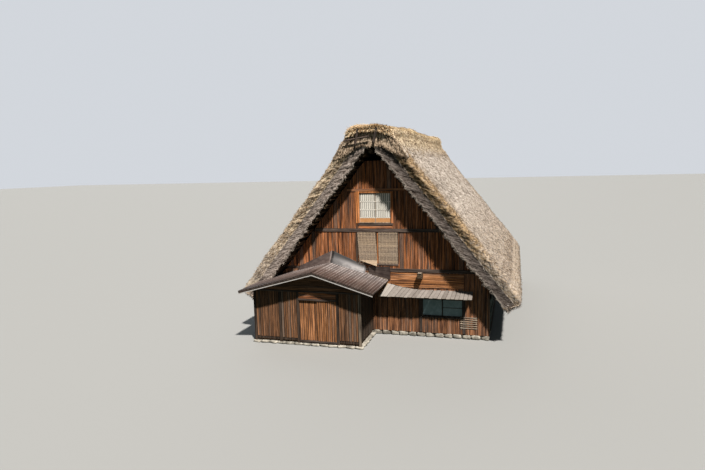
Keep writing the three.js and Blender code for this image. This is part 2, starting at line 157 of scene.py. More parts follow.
def make_piece(name, points, faces, material, body="house", replaces=(), slot=None, smooth=False,
               second=None, **values):
    """A mesh object from points and faces, its normals outwards, riding on a body of the frame. second is
    another material and the number of the first face that has it."""
    mesh = bpy.data.meshes.new(name)
    lists = faces if isinstance(faces, list) else faces.tolist()
    mesh.from_pydata(np.asarray(points, float).reshape(-1, 3).tolist(), [], lists)
    for key, data in values.items():
        data = np.asarray(data, np.float32)
        kind = "FLOAT" if data.ndim == 1 else "FLOAT_VECTOR"
        layer = mesh.attributes.new(key, kind, "POINT")
        layer.data.foreach_set("value" if data.ndim == 1 else "vector", data.ravel())
    work = bmesh.new()
    work.from_mesh(mesh)
    bmesh.ops.recalc_face_normals(work, faces=work.faces)
    work.to_mesh(mesh)
    work.free()
    mesh.polygons.foreach_set("use_smooth", np.full(len(mesh.polygons), smooth))
    mesh.materials.append(material)
    if second:
        mesh.materials.append(second[0])
        mesh.polygons.foreach_set("material_index", (np.arange(len(mesh.polygons)) >= second[1]).astype(int))
    piece = bpy.data.objects.new(name, mesh)
    bpy.context.scene.collection.objects.link(piece)
    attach(piece, body)
    if replaces:
        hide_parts(*replaces)
    return piece


# A block with its edges cut off: three points at each of the eight corners
CORNERS = np.array([[x, y, z] for x in (-1, 1) for y in (-1, 1) for z in (-1, 1)])
CUTS = np.array([[0, 1, 1], [1, 0, 1], [1, 1, 0]])


def block_faces():
    """Six sides, twelve edges and eight corners of the block, by the sign of each corner."""
    index = {tuple(c): 3 * i for i, c in enumerate(CORNERS.tolist())}
    faces = [[3 * i, 3 * i + 1, 3 * i + 2] for i in range(8)]
    for axis in range(3):
        a, b = [k for k in range(3) if k != axis]
        for sign in (-1, 1):
            side = []
            for pair in ((-1, -1), (1, -1), (1, 1), (-1, 1)):
                corner = [0, 0, 0]
                corner[axis], corner[a], corner[b] = sign, *pair
                side.append(index[tuple(corner)] + axis)
            faces.append(side)
        for pair in ((-1, -1), (1, -1), (1, 1), (-1, 1)):
            ends = []
            for sign in (-1, 1):
                corner = [0, 0, 0]
                corner[axis], corner[a], corner[b] = sign, *pair
                ends.append(index[tuple(corner)])
            faces.append([ends[0] + a, ends[1] + a, ends[1] + b, ends[0] + b])
    return faces


BLOCK_FACES = block_faces()


def tones_of(tone, count, each):
    """One tone a body, random where none is given, repeated for each of its points."""
    if tone is None:
        tone = np.random.default_rng(count).random(count)
    return np.repeat(np.asarray(tone), each)


def panel(x0, x1, z0, z1, y0, y1=FRONT):
    """The low and the high corner of a block. It ends at the front gable's face where no y1 is given."""
    return (x0, y0, z0), (x1, y1, z1)


def put_blocks(name, boxes, material, tone=None, chamfer=0.004, shape=None, **options):
    """A piece of many blocks with cut edges, each from its low and its high corner. A face's three points
    sit a chamfer in along the two axes that lie in that face. shape, if given, moves the points, and tone
    is one random number a block."""
    lows, highs = np.array(boxes, float).swapaxes(0, 1)
    centre, half = (lows + highs) / 2, (highs - lows) / 2
    inset = np.minimum(chamfer, half.min(axis=1) * 0.45)[:, None, None]
    reach = half[:, None, None, :] - inset[..., None] * CUTS[None, None]
    points = (centre[:, None, None, :] + CORNERS[None, :, None, :] * reach).reshape(-1, 24, 3)
    if shape:
        points = shape(points)
    faces = [[v + 24 * i for v in face] for i in range(len(points)) for face in BLOCK_FACES]
    return make_piece(name, points, faces, material, tone=tones_of(tone, len(points), 24), **options)


def spikes(roots, directions, lengths, radius):
    """Straws as slim four-sided darts: a triangle at the root, square to the straw, and a tip."""
    directions = directions / np.linalg.norm(directions, axis=1, keepdims=True)
    aside = np.cross(directions, np.array([0.31, 0.22, 0.93]))
    aside /= np.linalg.norm(aside, axis=1, keepdims=True)
    over = np.cross(directions, aside)
    rings = []
    for angle in (0, 2.1, 4.2):
        rings.append(roots + radius[:, None] * (aside * math.cos(angle) + over * math.sin(angle)))
    rings.append(roots + directions * lengths[:, None])
    points = np.stack(rings, 1)
    face = np.array([[0, 1, 2], [0, 3, 1], [1, 3, 2], [2, 3, 0]])
    faces = (face[None] + 4 * np.arange(len(roots))[:, None, None]).reshape(-1, 3)
    return points, faces


def put_straws(name, roots, directions, lengths, radius, material, shade, **options):
    """A piece of many straws. shade is one number a straw, and tip runs from 0 at the root to 1."""
    points, faces = spikes(roots, directions, lengths, radius)
    tip = np.tile([0.0, 0.0, 0.0, 1.0], len(roots))
    return make_piece(name, points, faces, material, shade=np.repeat(shade, 4), tip=tip, **options)


def poles(starts, ends, radii, sides=8):
    """Round poles: a ring at each end and a cap on it."""
    starts, ends = np.atleast_2d(starts).astype(float), np.atleast_2d(ends).astype(float)
    axis = ends - starts
    axis /= np.linalg.norm(axis, axis=1, keepdims=True)
    aside = np.cross(axis, np.array([0.17, 0.29, 0.94]))
    aside /= np.linalg.norm(aside, axis=1, keepdims=True)
    over = np.cross(axis, aside)
    angle = np.arange(sides) * 2 * math.pi / sides
    ring = aside[:, None] * np.cos(angle)[:, None] + over[:, None] * np.sin(angle)[:, None]
    ring = ring * np.broadcast_to(radii, len(starts))[:, None, None]
    points = np.concatenate([starts[:, None] + ring, ends[:, None] + ring], 1)
    faces = []
    for i in range(len(starts)):
        first = 2 * sides * i
        faces.append(list(range(first, first + sides))[::-1])
        faces.append(list(range(first + sides, first + 2 * sides)))
        for k in range(sides):
            n = (k + 1) % sides
            faces.append([first + k, first + n, first + sides + n, first + sides + k])
    return points, faces


def hexes(name, starts, ends, material, tone=None, **options):
    """A piece of six-sided bodies, each from a ring of four points and the ring across from it."""
    points = np.concatenate([np.asarray(starts, float), np.asarray(ends, float)], axis=1)
    face = np.array([[0, 1, 2, 3], [7, 6, 5, 4], [0, 4, 5, 1], [1, 5, 6, 2], [2, 6, 7, 3], [3, 7, 4, 0]])
    faces = (face[None] + 8 * np.arange(len(points))[:, None, None]).reshape(-1, 4)
    return make_piece(name, points, faces, material, tone=tones_of(tone, len(points), 8), **options)


def slope_point(side, u, y, w):
    """The place of a point u down the slope and w out of it, on the right (1) or left (-1) side."""
    return np.stack(np.broadcast_arrays(
        side * (u * COS + w * SIN), y, INNER_APEX - u * SIN + w * COS), -1)


def slope_vector(side, du, dy, dw):
    """The direction of a step down, along and out of the slope."""
    return np.stack(np.broadcast_arrays(side * (du * COS + dw * SIN), dy, -du * SIN + dw * COS), -1)


# Shader tools

SOCKET_KINDS = {"Tone": "Float", "Weathering": "Float", "Roughness": "Float", "Height": "Float",
                "Vector": "Vector", "Strand": "Vector", "Tuft": "Vector"}
OBJECT_PLACE, AS_VECTOR, AS_NUMBER = 3, 1, 2
GROUPS = {}
FINISHES = {}


def colour(text):
    """A linear colour from an sRGB hex string."""
    values = [int(text[i:i + 2], 16) / 255 for i in (0, 2, 4)]
    return (*[v / 12.92 if v <= 0.04045 else ((v + 0.055) / 1.055) ** 2.4 for v in values], 1.0)


class Graph:
    """Adds nodes to one node tree and joins them. A value is a number, a hex colour or a node's output."""

    def __init__(self, tree):
        self.tree = tree

    def put(self, sockets, values):
        """Links each value to its socket, or sets it there."""
        for key, value in values.items():
            if isinstance(value, bpy.types.NodeSocket):
                self.tree.links.new(value, sockets[key])
            else:
                sockets[key].default_value = colour(value) if isinstance(value, str) else value

    def add(self, kind, inputs=None, output=0, **settings):
        """A node with its settings and inputs, and one of its outputs."""
        node = self.tree.nodes.new(kind)
        for key, value in settings.items():
            setattr(node, key, value)
        self.put(node.inputs, inputs or {})
        return node.outputs[output]

    def math(self, operation, a, b=0.0):
        """One sum on two numbers."""
        return self.add("ShaderNodeMath", {0: a, 1: b}, operation=operation)

    def plus(self, a, b):
        """Two numbers added."""
        return self.math("ADD", a, b)

    def times(self, a, b):
        """Two numbers multiplied."""
        return self.math("MULTIPLY", a, b)

    def fade(self, value, low, high, to_low=0.0, to_high=1.0):
        """A number carried from one range to another, and kept inside it."""
        return self.add("ShaderNodeMapRange", {
            "Value": value, "From Min": low, "From Max": high, "To Min": to_low, "To Max": to_high})

    def mix(self, factor, a, b):
        """Two colours mixed."""
        return self.add("ShaderNodeMix", {0: factor, 6: a, 7: b}, 2, data_type="RGBA")

    def lit(self, tint, value, saturation=1.0):
        """A colour made lighter or darker."""
        return self.add("ShaderNodeHueSaturation", {"Value": value, "Saturation": saturation, "Color": tint})

    def noise(self, vector, scale, detail=3.0, rough=0.55):
        """Blender's noise as a number."""
        return self.add("ShaderNodeTexNoise", {
            "Vector": vector, "Scale": scale, "Detail": detail, "Roughness": rough})

    def where(self):
        """The place on the object, in its own coordinates."""
        return self.add("ShaderNodeTexCoord", output=OBJECT_PLACE)

    def own(self, name, output=AS_NUMBER):
        """One of the mesh's own attributes."""
        return self.add("ShaderNodeAttribute", attribute_name=name, output=output)

    def spaced(self, place, scale):
        """A place with each of its axes scaled."""
        return self.add("ShaderNodeVectorMath", {0: place, 1: scale}, operation="MULTIPLY")

    def group(self, build, inputs):
        """All outputs of a shared group, which is built the first time that a finish asks for it."""
        if build not in GROUPS:
            GROUPS[build] = build()
        return self.add("ShaderNodeGroup", inputs, node_tree=GROUPS[build]).node.outputs

    def shade(self, tint, height=None, bump=0.004, strength=0.6, **fixed):
        """Joins colour, height and other values to the material's own shader."""
        values = {key.replace("_", " "): value for key, value in fixed.items()}
        values["Base Color"] = tint
        if height is not None:
            values["Normal"] = self.add("ShaderNodeBump", {
                "Height": height, "Distance": bump, "Strength": strength})
        self.put(self.tree.nodes["Principled BSDF"].inputs, values)


def new_group(name, inputs, outputs):
    """An empty shader group: its graph, what comes into it, and the sockets that take what it gives."""
    tree = bpy.data.node_groups.new(name, "ShaderNodeTree")
    for way, keys in (("INPUT", inputs), ("OUTPUT", outputs)):
        for key in keys.split():
            kind = "NodeSocket" + SOCKET_KINDS.get(key, "Color")
            tree.interface.new_socket(key, in_out=way, socket_type=kind)
    return Graph(tree), tree.nodes.new("NodeGroupInput").outputs, tree.nodes.new("NodeGroupOutput").inputs


def wood_group():
    """Sawn boards: dark and light streaks along the grain, broad stains and grey weathering, shifted from
    board to board by Tone."""
    g, s, sink = new_group("weathered_boards", "Vector Tone Warm Deep Grey Weathering",
                           "Color Roughness Height")
    shift = g.times(s["Tone"], 41.0)
    shift = g.add("ShaderNodeCombineXYZ", {"X": shift, "Y": shift, "Z": shift})
    place = g.add("ShaderNodeVectorMath", {0: s["Vector"], 1: shift}, operation="ADD")
    grain = g.noise(place, 70.0, 4.0, 0.6)
    streak = g.noise(place, 19.0, 2.0, 0.5)
    stain = g.noise(place, 2.4, 2.0, 0.5)
    body = g.mix(g.fade(streak, 0.40, 0.52), s["Deep"], s["Warm"])
    body = g.mix(g.fade(streak, 0.56, 0.62), body, g.lit(s["Warm"], 1.45, 0.92))
    wear = g.times(g.fade(g.noise(place, 26.0, 2.0, 0.6), 0.46, 0.62), g.fade(stain, 0.42, 0.66))
    wear = g.math("MAXIMUM", wear, g.fade(s["Tone"], 0.88, 0.93, 0.0, 0.8))
    body = g.mix(g.times(wear, s["Weathering"]), body, s["Grey"])
    lift = g.add("ShaderNodeTexWhiteNoise", {"W": s["Tone"]}, noise_dimensions="1D")
    lift = g.times(g.fade(lift, 0.0, 1.0, 0.6, 1.25), g.fade(grain, 0.38, 0.62, 0.5, 1.35))
    g.put(sink, {"Color": g.lit(body, lift), "Roughness": g.fade(grain, 0.3, 0.7, 0.9, 0.66),
                 "Height": g.plus(grain, g.times(streak, 0.6))})
    return g.tree


def straw_group():
    """Reed ends and stems: small blobs along one axis with dark holes between tufts, painted as the shade in
    them, and slow patches.
    """
    g, s, sink = new_group("reed_thatch", "Strand Tuft Light Mid Dark", "Color Height")
    strand = g.noise(s["Strand"], 1.0, 2.0, 0.55)
    tuft = g.noise(s["Tuft"], 1.0, 3.0, 0.6)
    patch = g.noise(s["Tuft"], 0.1, 3.0, 0.5)
    both = g.plus(g.times(strand, 0.62), g.times(tuft, 0.38))
    body = g.mix(g.fade(both, 0.40, 0.46), s["Dark"], s["Mid"])
    body = g.mix(g.fade(both, 0.49, 0.55), body, s["Light"])
    g.put(sink, {"Color": g.lit(body, g.fade(patch, 0.3, 0.7, 0.9, 1.08)),
                 "Height": g.plus(g.times(strand, 0.8), g.times(tuft, 0.8))})
    return g.tree


def sheet_group():
    """Painted sheet metal: chalked streaks down the fall and a little rust in spots."""
    g, s, sink = new_group("old_sheet", "Vector Tone Paint Chalk Rust", "Color Roughness Height")
    streak = g.noise(s["Vector"], 9.0, 4.0, 0.6)
    spot = g.noise(s["Vector"], 2.2, 4.0, 0.65)
    body = g.mix(g.fade(streak, 0.4, 0.72), s["Paint"], s["Chalk"])
    body = g.mix(g.fade(spot, 0.56, 0.72, 0.0, 0.65), body, s["Rust"])
    g.put(sink, {"Color": g.lit(body, g.fade(s["Tone"], 0.0, 1.0, 0.82, 1.2)),
                 "Roughness": g.fade(streak, 0.3, 0.7, 0.38, 0.6), "Height": g.plus(streak, spot)})
    return g.tree


# Finishes

def finish(fill):
    """Turns a function that fills a graph into one that hands out the finish of a name, built only once."""
    def named(name, *values, **options):
        if name not in FINISHES:
            FINISHES[name] = bpy.data.materials.new(name)
            FINISHES[name].use_nodes = True
            fill(Graph(FINISHES[name].node_tree), *values, **options)
        return FINISHES[name]
    return named


# Warm, deep and grey colours, and how far the grey has come
TIMBERS = {
    "gable_boards": ("A56539", "4A2C1C", "70635A", 0.8),
    "low_boards": ("966340", "4A2F22", "756860", 0.8),
    "plank_boards": ("BF7F4C", "60381F", "8A7A6C", 0.6),
    "annex_boards": ("82593B", "573C2A", "6C6259", 0.8),
    "door_boards": ("A86F43", "744B2F", "746860", 0.4),
    # The annex sides' boards: a darker copy of the annex boards, painted shade
    "shade_boards": ("4A392C", "2A201A", "4C453E", 0.7),
    "floor_boards": ("7C5C3E", "402D1E", "6A5C4E", 0.4),
    "dark_timber": ("54463E", "2A221E", "645A54", 0.6),
    "post_timber": ("43352B", "211915", "52473F", 0.5),
    "corner_post": ("6F6254", "3D342C", "857B72", 0.9),
    "grey_timber": ("9E8E7B", "6A5C4F", "A1988D", 0.9),
    "smoked_log": ("54432F", "241B13", "4E443C", 0.5),
    "fresh_trim": ("C98048", "87502A", "957C66", 0.3),
    "pale_trim": ("B49C82", "8A7562", "A39A90", 0.5),
}
# Light and dark colours of small or bleached timber
PLAIN_TIMBERS = {
    "white_bars": ("F6F0E6", "E4DCCF"),
    "shoji_foot": ("DDA672", "B8804F"),
    "awning_boards": ("958D86", "605852"),
    "awning_ends": ("C9BFB2", "94887A"),
    "awning_side": ("C9A983", "9C7F5E"),
    "drip_strip": ("C4C0BC", "98928C"),
}
# Light, middle and dark colours of a skin of reed; the dark one paints the shade in the holes between tufts
COATS = {
    "pale": ("CCC0B5", "B0A498", "766A5F"),
    "tan": ("D9C4A7", "AC967E", "554637"),
    "brown": ("AD9270", "7F694F", "40332A"),
    "grey": ("B3A59C", "85776E", "3D352F"),
    "gold": ("CDB896", "AA9270", "5C4833"),
    "cap": ("D8C5A6", "A48F76", "4C3E32"),
    "bark": ("C8B29A", "97826D", "4E4238"),
    "under": ("4A3D31", "30271F", "140F0B"),
}
# The same three of single straws
STRAWS = {
    "straw_grey": ("AC9E93", "7D7067", "3C342E"),
    "straw_rim": ("DDD2C6", "AEA195", "5E544C"),
    "straw_pale": ("DDD2C7", "AA9E93", "5F544B"),
    "straw_tan": ("E0C6A4", "B0967A", "57483A"),
    "straw_brown": ("B39A7A", "846C53", "42362A"),
    "straw_cap": ("DCC9AA", "AA947A", "62513F"),
    "straw_bark": ("D8C1A7", "9E8871", "4E4135"),
    "straw_gold": ("DDC9A6", "BAA07D", "775F43"),
    # Near-white straw ends for the crown's front and ends: painted sunlight on them
    "straw_tip": ("FFEFD2", "E6CCA6", "AE906A"),
}
# Paint, chalk and rust of sheet metal
SHEETS = {
    "roof_sheet": ("4D3C37", "67574F", "46332E"),
    "roof_bead": ("7A6A64", "A2948E", "5E4E48"),
    "wall_sheet": ("3A2F2B", "50443E", "3A2B27"),
    "flashing_right": ("272525", "383635", "302D2C"),
    "flashing_left": ("483D3A", "60544F", "4C413D"),
}
ALONG_GRAIN = {"x": (0.03, 1, 1), "y": (1, 0.03, 1), "z": (1, 1, 0.03)}


@finish
def timber(g, along, warm, deep, grey, weathering):
    """Boards or beams whose grain runs along one axis of the part."""
    tint, rough, height = g.group(wood_group, {
        "Vector": g.spaced(g.where(), ALONG_GRAIN[along]), "Tone": g.own("tone"), "Warm": warm, "Deep": deep,
        "Grey": grey, "Weathering": weathering})
    g.shade(tint, height, 0.003, Roughness=rough, Specular_IOR_Level=0.25)


def wood(kind, along="z"):
    """One of the timbers, with its grain along an axis."""
    return timber(f"{kind}_{along}", along, *TIMBERS[kind])


@finish
def plain_timber(g, light, dark):
    """Calm timber: each block has its own tone, with slow stains."""
    stain = g.noise(g.where(), 5.0, 4.0, 0.6)
    share = g.plus(g.times(g.own("tone"), 0.6), g.times(stain, 0.5))
    g.shade(g.mix(g.fade(share, 0.25, 0.8), dark, light), stain, 0.002, 0.4, Roughness=0.8,
            Specular_IOR_Level=0.2)


def plain(kind):
    """One of the calm timbers."""
    return plain_timber(kind, *PLAIN_TIMBERS[kind])


def coat(g, place, kind, strand, tuft):
    """One coat of reed: colour and height, with how close its strands and tufts lie along each axis."""
    light, mid, dark = COATS[kind]
    return g.group(straw_group, {
        "Strand": g.spaced(place, strand), "Tuft": g.spaced(place, tuft), "Light": light, "Mid": mid,
        "Dark": dark})


@finish
def thatch_finish(g, verge):
    """One slope: pale grey reed, a brown outer verge and a grey inner one in level layers, by the mesh's
    own masks. The lit mask darkens the grey cut as painted shade, cracks and holes are painted dark as
    the shade in them, and the pale inner rim is partly paler cut ends and partly a painted highlight."""
    place, layers = g.own("straw", AS_VECTOR), g.own("layers", AS_VECTOR)
    brown, grey = g.own("brown"), g.own("grey")
    top, top_height = coat(g, place, "pale", (9, 11, 12), (4, 5, 8))
    rim_tint, rim_height = coat(g, layers, verge, (3.5, 15, 22), (1.5, 7, 13))
    cut, cut_height = coat(g, layers, "grey", (3.5, 16, 28), (1.3, 7, 14))
    wander = g.times(g.math("SUBTRACT", g.noise(place, 4.5, 5.0, 0.7), 0.5), 2.6)
    brown = g.fade(g.times(brown, g.plus(wander, 1.0)), 0.05, 0.95)
    grey = g.fade(g.plus(grey, g.times(wander, 0.4)), 0.3, 0.7)
    # Painted light: the lit mask shades the grey cut, the rim mask paints a pale inner edge that is partly a
    # highlight, and the crack mask paints shade into cracks and holes.
    tint = g.mix(grey, g.mix(brown, top, rim_tint), g.lit(cut, g.own("lit")))
    tint = g.mix(g.times(g.own("rim"), 0.6), tint, "C9BDB1")
    tint = g.mix(g.own("crack_shade"), tint, "2A211A")
    height = g.mix(grey, g.mix(brown, top_height, rim_height), cut_height)
    g.shade(tint, height, 0.05, 1.0, Roughness=0.95, Specular_IOR_Level=0.1)


@finish
def dark_reed(g):
    """The thatch's underside: smoked, and painted darker still as shade."""
    tint, height = coat(g, g.where(), "under", (3, 30, 3), (3, 3, 3))
    g.shade(tint, height, 0.03, 0.8, Roughness=0.95, Specular_IOR_Level=0.1)


@finish
def straw_finish(g, light, mid, dark):
    """Single straws: darker at the root, lighter at the tip, each its own shade."""
    fine = g.noise(g.where(), 25.0, 2.0)
    tone = g.plus(g.times(g.own("shade"), 0.6), g.times(fine, 0.4))
    body = g.mix(g.fade(tone, 0.3, 0.6), dark, mid)
    body = g.mix(g.fade(tone, 0.5, 0.8), body, light)
    body = g.mix(g.fade(g.own("tip"), 0.0, 0.5, 0.35, 0.0), body, dark)
    g.shade(body, fine, 0.001, 0.3, Roughness=0.9, Specular_IOR_Level=0.15)


@finish
def cap_finish(g):
    """The ridge's straw: golden on the crown, as pale as the slopes on its sides, brown at its ends."""
    place = g.where()
    gold, height = coat(g, place, "gold", (9, 16, 12), (4, 8, 6))
    pale = coat(g, place, "cap", (12, 16, 8), (6, 9, 4))[0]
    slope = coat(g, place, "pale", (12, 16, 8), (6, 9, 4))[0]
    brown = coat(g, place, "bark", (16, 9, 7), (8, 5, 4))[0]
    wander = g.times(g.math("SUBTRACT", g.noise(place, 2.5, 4.0), 0.5), 1.4)
    high = g.fade(g.plus(g.own("high"), wander), 0.3, 0.7)
    tint = g.mix(high, g.mix(g.own("foot"), pale, slope), gold)
    g.shade(g.mix(g.own("end"), tint, brown), height, 0.06, 1.0, Roughness=0.92, Specular_IOR_Level=0.1)


@finish
def sheet_finish(g, paint, chalk, rust, stretch, sheen=False, shine=0.5, glow=1.0):
    """Sheet metal, streaked along the fall. Sheen lightens it towards the annex's ridge and the house, partly
    bleaching and partly a painted reflection of the sky, and darkens the slope left of the ridge as painted
    shade. The last value is how many times brighter it is where the mesh's highlight mask is 1: a painted
    highlight."""
    where = g.where()
    tint, rough, height = g.group(sheet_group, {
        "Vector": g.spaced(where, stretch), "Tone": g.own("tone"), "Paint": paint, "Chalk": chalk,
        "Rust": rust})
    # Painted light: paler towards the back and the ridge, partly bleaching and partly a painted reflection of
    # the sky, and darker left of the ridge as painted shade.
    if sheen:
        x, y, _ = g.add("ShaderNodeSeparateXYZ", {"Vector": where}).node.outputs
        ridge = ANNEX_RIDGE[0]
        far = g.math("ABSOLUTE", g.math("SUBTRACT", x, ridge))
        value = g.times(g.fade(y, -10.7, -8.2, 0.6, 1.9), g.fade(far, 0.3, 3.0, 1.1, 0.86))
        value = g.times(value, g.fade(x, ridge - 0.1, ridge + 0.1, 0.78, 1.0))
        tint = g.lit(tint, value, g.fade(value, 0.8, 1.7, 1.05, 0.5))
    if glow > 1:
        tint = g.lit(tint, g.fade(g.own("glow"), 0.0, 1.0, 1.0, glow))
    g.shade(tint, height, 0.002, 0.4, Roughness=rough, Metallic=0.15, Specular_IOR_Level=shine)


def sheet(kind, stretch, **options):
    """One of the metal sheets."""
    return sheet_finish(kind, *SHEETS[kind], stretch, **options)


@finish
def stone_finish(g):
    """Pale speckled foundation stones, clouded light and dark."""
    speck = g.noise(g.where(), 38.0, 5.0, 0.7)
    cloud = g.noise(g.where(), 4.0, 3.0, 0.5)
    body = g.mix(g.fade(cloud, 0.35, 0.65), "6E685E", "BDB5A7")
    body = g.mix(g.fade(speck, 0.5, 0.75, 0.0, 0.5), body, "6E685E")
    g.shade(body, g.plus(speck, cloud), 0.01, 0.7, Roughness=0.92)


@finish
def paper_finish(g):
    """Shoji paper: grey-white, darker than the white bars in front of it as their painted shade, a little
    uneven, with soft stains.
    """
    fibre = g.noise(g.where(), 90.0, 4.0, 0.7)
    body = g.mix(g.fade(g.noise(g.where(), 3.0, 4.0, 0.6), 0.35, 0.7), "B0ADA6", "9A968E")
    body = g.mix(g.fade(fibre, 0.4, 0.7, 0.0, 0.25), body, "8A857B")
    g.shade(body, fibre, 0.0006, 0.4, Roughness=0.85)


@finish
def glass_finish(g):
    """Window glass as an opaque colour: a teal-grey that paints the dark room behind it and the sky it
    reflects, lighter where dusty, with a faint ribbed pattern.
    """
    place = g.where()
    ribs = g.add("ShaderNodeTexWave", {"Vector": place, "Scale": 9.0, "Distortion": 0.6, "Detail": 1.0},
                 output=1, bands_direction="X")
    dust = g.noise(place, 2.5, 5.0, 0.65)
    body = g.mix(g.fade(dust, 0.3, 0.75), "6B8488", "9DB0B4")
    body = g.mix(g.fade(ribs, 0.2, 0.8, 0.0, 0.35), body, "889D9E")
    g.shade(body, ribs, 0.0008, 0.3, Roughness=g.fade(dust, 0.3, 0.7, 0.12, 0.35), Specular_IOR_Level=0.6)


@finish
def reed_finish(g):
    """Woven reed: grey-tan stems, each with its own tone."""
    place = g.spaced(g.where(), (0.3, 1, 1))
    fleck = g.noise(place, 45.0, 4.0, 0.65)
    share = g.plus(g.times(fleck, 0.6), g.times(g.own("tone"), 0.4))
    body = g.mix(g.fade(share, 0.34, 0.66), "5A4B3E", "C3AB90")
    body = g.mix(g.fade(g.noise(place, 1.6, 3.0, 0.5), 0.4, 0.7, 0.0, 0.4), body, "92857A")
    g.shade(body, fleck, 0.001, 0.5, Roughness=0.8)


@finish
def floor_finish(g, bounce, seen):
    """The floor: one colour as the camera sees it and a darker one for the light that it gives back."""
    tint = g.mix(g.add("ShaderNodeLightPath"), (*bounce, 1.0), (*seen, 1.0))
    g.shade(tint, Roughness=0.9, Specular_IOR_Level=0.1)


# Thatch

EAVE_START = 10.3
EAVE_U = [10.58, 10.8, 10.99, 11.13, 11.24, 11.33, 11.40, 11.43, 11.42, 11.37, 11.28, 11.2, 11.13]
EAVE_W = [1.0, 0.985, 0.955, 0.92, 0.89, 0.84, 0.78, 0.67, 0.55, 0.40, 0.23, 0.1, 0.0]
# The verge's cut: share of the thatch's depth, and how far the surface lies in from the front
VERGE_CUT = [(0.0, 0.07), (0.02, 0.03), (0.06, 0.015), (0.15, 0.04), (0.28, 0.09), (0.38, 0.135),
             (0.44, 0.155), (0.52, 0.13), (0.62, 0.08), (0.72, 0.025), (0.80, 0.0), (0.86, 0.02),
             (0.915, 0.075), (0.955, 0.16), (0.98, 0.27), (1.0, 0.45)]
VERGE_POINTS = 34
LAYER_TILT = math.radians(33)
RIDGE_U = 0.3


def verge_profile():
    """Points spread evenly along the verge's cut."""
    share, inset = np.array(VERGE_CUT).T
    run = np.concatenate([[0], np.cumsum(np.hypot(np.diff(share) * 1.2, np.diff(inset)))])
    place = np.linspace(0, run[-1], VERGE_POINTS)
    return np.interp(place, run, share), np.interp(place, run, inset)


def thatch_depth(u):
    """The thatch's thickness, a little less towards the eave."""
    return mixed(1.2, 1.12, np.clip(u / EAVE_START, 0, 1))


def thatch_sheet(side, settings):
    """The outer skin of one slope: verge, face and verge along y, ridge to rounded eave along u, and at
    each point the lower of the two edge heights. The reed lies in layers that fall less steeply than the
    slope, which shows at the verges as bands and cracks. Teeth hang from the inner edge, and lumps of
    several sizes push the skin out along its normal."""
    share, inset = verge_profile()
    face_y = np.arange(VERGE_FRONT + 0.62, VERGE_BACK - 0.62, settings.grid)
    face_u = np.arange(RIDGE_U, EAVE_START, settings.row)
    y = np.concatenate([VERGE_FRONT + inset, face_y, VERGE_BACK - inset[::-1]])
    a = np.concatenate([share, np.ones(len(face_y)), share[::-1]])
    u = np.concatenate([[0.02, 0.1, 0.2], face_u, EAVE_U])
    b = np.concatenate([[0.0, 0.4, 0.8], np.ones(len(face_u)), EAVE_W])
    high = np.minimum(a[None, :], b[:, None])
    cut = np.concatenate([inset * (share < 0.8), np.zeros(len(face_y)), -(inset * (share < 0.8))[::-1]])
    uu, yy = np.broadcast_arrays(u[:, None], y[None, :])
    yy = yy - 0.55 * cut * (eased(uu, 4.5, 9.0) + 1 - eased(uu, 0.6, 2.4))
    seed = 5 if side > 0 else 9
    inner = (1 - eased(a, 0.03, 0.22))[None, :] * (b[:, None] > 0.5)
    tooth = np.clip(noise(np.stack([uu * 5.2, np.sign(yy), uu * 0], -1), seed + 5, 2) + 0.25, 0, 1)
    flat = np.stack([uu, yy, high * thatch_depth(uu) + (0.04 - 0.11 * tooth) * inner], -1)
    points = slope_point(side, uu, yy, flat[..., 2])
    normal = np.cross(np.gradient(points, axis=0), np.gradient(points, axis=1)) * side
    normal /= np.linalg.norm(normal, axis=-1, keepdims=True) + 1e-9
    grey = np.broadcast_to(1 - eased(a, 0.44, 0.52), high.shape)
    near = np.minimum(yy - VERGE_FRONT, VERGE_BACK - yy)
    brown = 1 - eased(near + 0.2 * noise(flat * (1.2, 0, 0), seed), 0.05, 1.3)
    brown = np.maximum(brown, 0.42 * (1 - eased(near, 0.4, 3.6)))
    brown = np.maximum(brown * mixed(1, 0.45, eased(uu, 6.0, 10.0)), 0.46 * eased(uu, 4.0, 10.0)) * (1 - grey)
    c, s = math.cos(LAYER_TILT), math.sin(LAYER_TILT)
    layers = np.stack([uu * c + flat[..., 2] * s, yy, flat[..., 2] * c - uu * s], -1)
    edge = np.maximum(grey, brown)
    crack = np.clip(1 - np.abs(noise(layers * (0.5, 1.5, 4.8), seed + 7, 2)) / 0.15, 0, 1)
    crack = crack * eased(noise(layers * (1.3, 1, 2), seed + 8), -0.1, 0.3) * edge
    hole = eased(noise(flat * 2.6, seed + 6), 0.9, 0.97) * (1 - edge)
    lumps = 0.03 * noise(flat * 0.6, seed, 2) + 0.014 * noise(flat * (1.8, 4, 3), seed + 1, 2)
    lumps = lumps + 0.016 * noise(flat * (6, 8, 12), seed + 3, 2)
    lumps = lumps + 0.026 * brown * noise(layers * (3, 8, 13), seed + 2, 2)
    lumps = lumps + edge * 0.024 * noise(layers * (1.2, 4, 11), seed + 4, 2)
    lumps = lumps - 0.05 * crack - 0.06 * hole
    points = points + normal * (lumps * np.minimum(1, high * 12))[..., None]
    # Painted shade on the grey cut: darker towards the notch, and the right slope's grey darker overall,
    # where the verge's nose shadows it from the sun.
    start, dusk = (0.48, 0.24) if side > 0 else (1.1, 0.36)
    # The crack mask paints cracks and holes dark as the shade in them; the rim mask paints the inner edge
    # pale, partly paler cut ends and partly a painted highlight.
    masks = {"brown": brown, "grey": grey, "crack_shade": np.maximum(crack, hole) * 0.85,
             "lit": np.broadcast_to(start - dusk * eased(a, 0.0, 0.40), high.shape),
             "rim": (1 - eased(a, 0.02, 0.1))[None, :] * (b[:, None] > 0.9)}
    return points, flat, layers, masks, normal


